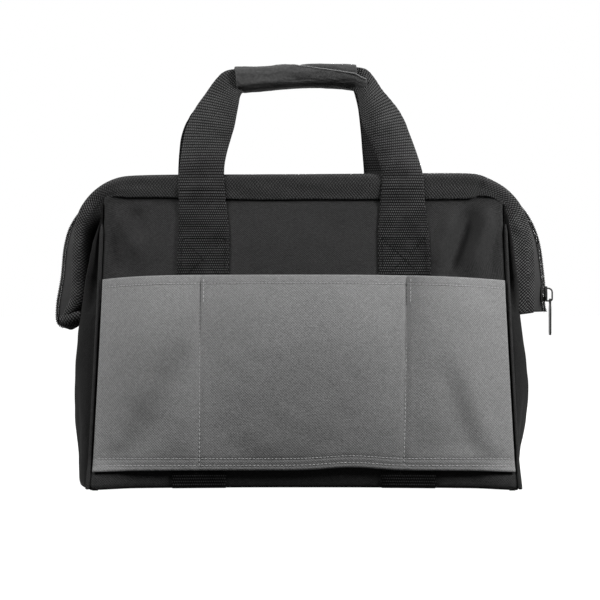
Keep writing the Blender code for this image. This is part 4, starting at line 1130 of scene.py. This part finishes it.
def strap_leg(corner, side, end_row, stands_out):
    """Rows of a strap from the base up to the handle's last row, which it meets."""
    middle, half = strap_x(corner, side), STRAP_WIDTH / 2
    top_z = end_row[ACROSS // 2].z
    leg = []
    for z in spread(STRAP_FOOT, top_z, 128)[:-1]:
        up = smooth((z - STRAP_FREE) / (top_z - STRAP_FREE))
        join = smooth((z - top_z + 0.010) / 0.010)
        free = smooth((z - BOX_TOP) / 0.03)
        inner_x = mix(middle - corner * half, end_row[0].x, up)
        outer_x = mix(middle + corner * half, end_row[-1].x, up)
        row = []
        for end, share in zip(end_row, spread(0, 1, ACROSS)):
            x = mix(inner_x, outer_x, share)
            depth = strap_out(side, x, z) + up * stands_out * 4 * share * (1 - share)
            depth = mix(depth + 0.0009 * free * math.sin(math.pi * share), abs(end.y), join)
            row.append(Vector((x, side * depth, mix(z, z + end.z - top_z, up ** 3))))
        leg.append(row)
    return leg


def whole_strap(side):
    """Rows of one long strap: up the left of the panel, through the handle and down the right."""
    world = []
    for ox, ov, ix, iv, *rest in HANDLE[side]:
        outer_depth, inner_depth, stands_out, folded = [value / 1000 for value in rest]
        world.append([*at(ox, ov, side * outer_depth), *at(ix, iv, side * inner_depth), stands_out, folded])
    handle = [ribbon_row(Vector(r[0:3]), Vector(r[3:6]), side, max(0, r[6]), max(0, r[7]))
              for r in curve(world, 10, 210, 6)]
    left, right = [strap_leg(corner, side, handle[i], world[i][6]) for corner, i in ((LEFT, 0), (RIGHT, -1))]
    return left, handle, right[::-1]


def base_leg(corner):
    """The stretch of strap that runs under the bag and turns up at the front and the back."""
    half = STRAP_WIDTH / 2

    def upright(side, z, out):
        leaning = z if z > FOOT else 0.0
        middle = strap_x(corner, side)
        return [Vector((x, side * (panel_depth(x, leaning) + LAYER_GAP + out), z))
                for x in spread(middle - half, middle + half, 12)]

    grid = [upright(FRONT, z, out) for z, out in BASE_WEB_TURN]
    for y in spread(-0.096, 0.096, 40):
        middle = corner * STRAP_OFFSET - BACK_STRAP_SHIFT * (1 + y / 0.1) / 2
        grid.append([Vector((x, y, 0.0)) for x in spread(middle - half, middle + half, 12)])
    return grid + [upright(BACK, z, out) for z, out in reversed(BASE_WEB_TURN)]


def straps():
    for corner, name in ENDS:
        # Painted shade: the strap under the bag uses the darker copy of the webbing.
        made = cloth(name + "_base_web", base_leg(corner), BASE_WEB, shaded_webbing, -1)
        dressed(made, (name + "_base_strap",), "bag_body")
    for side, name in SIDES:
        body = name + "_frame"
        left, handle, right = whole_strap(side)
        whole = left + handle + right
        along, across = grid_lengths(whole)
        split = next(i for i, row in enumerate(left) if row[ACROSS // 2].z > HANDLE_START)
        last = len(whole) - split
        for stem, first, end in (("left_strap", 0, split + 1), ("handle", split, last),
                                 ("right_strap", last - 1, len(whole))):
            stem = name + "_" + stem
            # Painted shade: the back strap and handle use the darker copy of the webbing.
            made = cloth(stem + "_web", whole[first:end], STRAP_CLOTH, webbing if side == FRONT else shaded_webbing,
                         side, (along[first:end], across[first:end]))
            if "handle" in stem:
                dressed(made, (stem,), body, name + "_carry")
            else:
                dressed(made, (stem, stem + "_top"), "bag_body", body)
        for corner, end_name in ENDS:
            bm = bmesh.new()
            reach = STRAP_WIDTH / 2 - BOX_INSET
            low, high = [strap_x(corner, side) + reach * way for way in (-1, 1)]
            for stops in ([(low, BOX_FOOT), (low, BOX_TOP), (high, BOX_TOP), (high, BOX_FOOT)],
                          [(low, BOX_TOP), (high, CROSS_FOOT)], [(high, BOX_TOP), (low, CROSS_FOOT)]):
                stitch_line(bm, lambda x, z: Vector((x, side * strap_out(side, x, z), z)), stops, BOX_PITCH,
                            Vector((0, side, 0)))
            made = finished("%s_%s_strap_thread" % (name, end_name), bm, black_thread)
            dressed(made, (), "bag_body", body)


# Grip: x, upper and lower outline in the front view, in millimetres
GRIP_LINE = metres([
    (-73.5, 413.8, 390.5), (-60, 414.3, 389), (-30, 414.6, 392), (-5, 416.6, 393.8), (5, 417.4, 394.4),
    (20, 417.6, 394.4), (40, 417.2, 393.2), (52, 417, 391.5), (65, 412.6, 389),
])
GRIP_TOP = [(x, top) for x, top, low in GRIP_LINE]
GRIP_LOW = [(x, low) for x, top, low in GRIP_LINE]
# Degrees round the grip, 0 to the front and 90 at the top: the flap's hinge, and its free edge by x
GRIP_HINGE = -122
FLAP_EDGE = [
    (-0.0740, 118.0), (-0.0400, 104.0), (-0.0200, 70.0), (-0.0036, 38.0), (0.0180, 18.0), (0.0400, 7.0),
    (0.0570, 2.0), (0.0660, 0.0),
]
GRIP_DEPTH, GRIP_ROUNDNESS, GRIP_COLUMNS = 0.0122, 2 / 2.7, 44
WRAP_ENDS = (-0.0668, 0.0530)
FLAP_LEFT, FLAP_RIGHT = (-0.0645, -0.0705), (0.0555, 0.0632)  # its ends at the hinge and at the free edge


def grip_point(x, angle, out):
    """A point round the grip: angle 0 faces the front, 90 is the top."""
    top, low = looked_up(GRIP_TOP, x), looked_up(GRIP_LOW, x)
    middle, height = (top + low) / 2, (top - low) / 2
    turn = math.radians(angle)
    across, up = math.cos(turn), math.sin(turn)
    soft = uneven(x, angle / 900, (0.0008, 0.022, 31)) + uneven(x, angle / 500, (0.0005, 0.009, 33))
    sag = -0.0012 * bell(x, 0.012, 0.014) * max(0.0, across)
    y = -math.copysign(abs(across) ** GRIP_ROUNDNESS, across) * (GRIP_DEPTH + out + soft + sag)
    z = math.copysign(abs(up) ** GRIP_ROUNDNESS, up) * (height - 0.0018 + out + soft * 0.6)
    return Vector((x, y, middle + z))


def flap_point(share, a_share):
    """A point of the flap: shares along the grip and from the hinge to the free edge, which droops at its right."""
    left = mix(*FLAP_LEFT, a_share)
    right = mix(*FLAP_RIGHT, smooth(a_share * 1.4))
    x = mix(left, right, share)
    angle = mix(GRIP_HINGE, looked_up(FLAP_EDGE, x), a_share)
    point = grip_point(x, angle, 0.0018 + 0.0016 * smooth((a_share - 0.6) / 0.4))
    point.z -= smooth((x - 0.050) / 0.012) * (0.0012 + 0.0034 * bell(a_share, 0.60, 0.20))
    return point


def grips():
    rows = []
    for x in spread(*WRAP_ENDS, 90):
        edge = looked_up(FLAP_EDGE, x)
        raised = 0.0002 + 0.0022 * smooth((x + 0.014) / 0.014)
        rows.append([grip_point(x, a, raised * smooth((a - edge - 2) / 36) * smooth((150 - a) / 40))
                     for a in spread(edge - 32, GRIP_HINGE + 360, GRIP_COLUMNS)])
    made = cloth("grip_wrap_cloth", rows, GRIP_CLOTH, grip_cloth, -1)
    dressed(made, ("grip_wrap",), "back_carry")
    rows = [[flap_point(share, a_share) for a_share in spread(0, 1, GRIP_COLUMNS)] for share in spread(0, 1, 100)]
    made = cloth("grip_flap_cloth", rows, GRIP_CLOTH, grip_cloth, -1)
    dressed(made, ("grip_flap",), "wrap_flap")
    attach(tube("grip_flap_hem", [row[-1] for row in rows], HEM_RADIUS, 8, hem_cloth), "wrap_flap")


def carried_over():
    """Looks of the rigid nodes that stay as they are packed."""
    looks = {"base_board": board_finish, "zip_end_stop": dark_metal, "zip_slider": dark_metal,
             "zip_puller": dark_metal}
    for name, look in looks.items():
        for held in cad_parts[name].material_slots:
            held.material = look


body_panels()
base_cloth()
end_panels()
bindings()
zip_parts()
pockets()
straps()
grips()
carried_over()
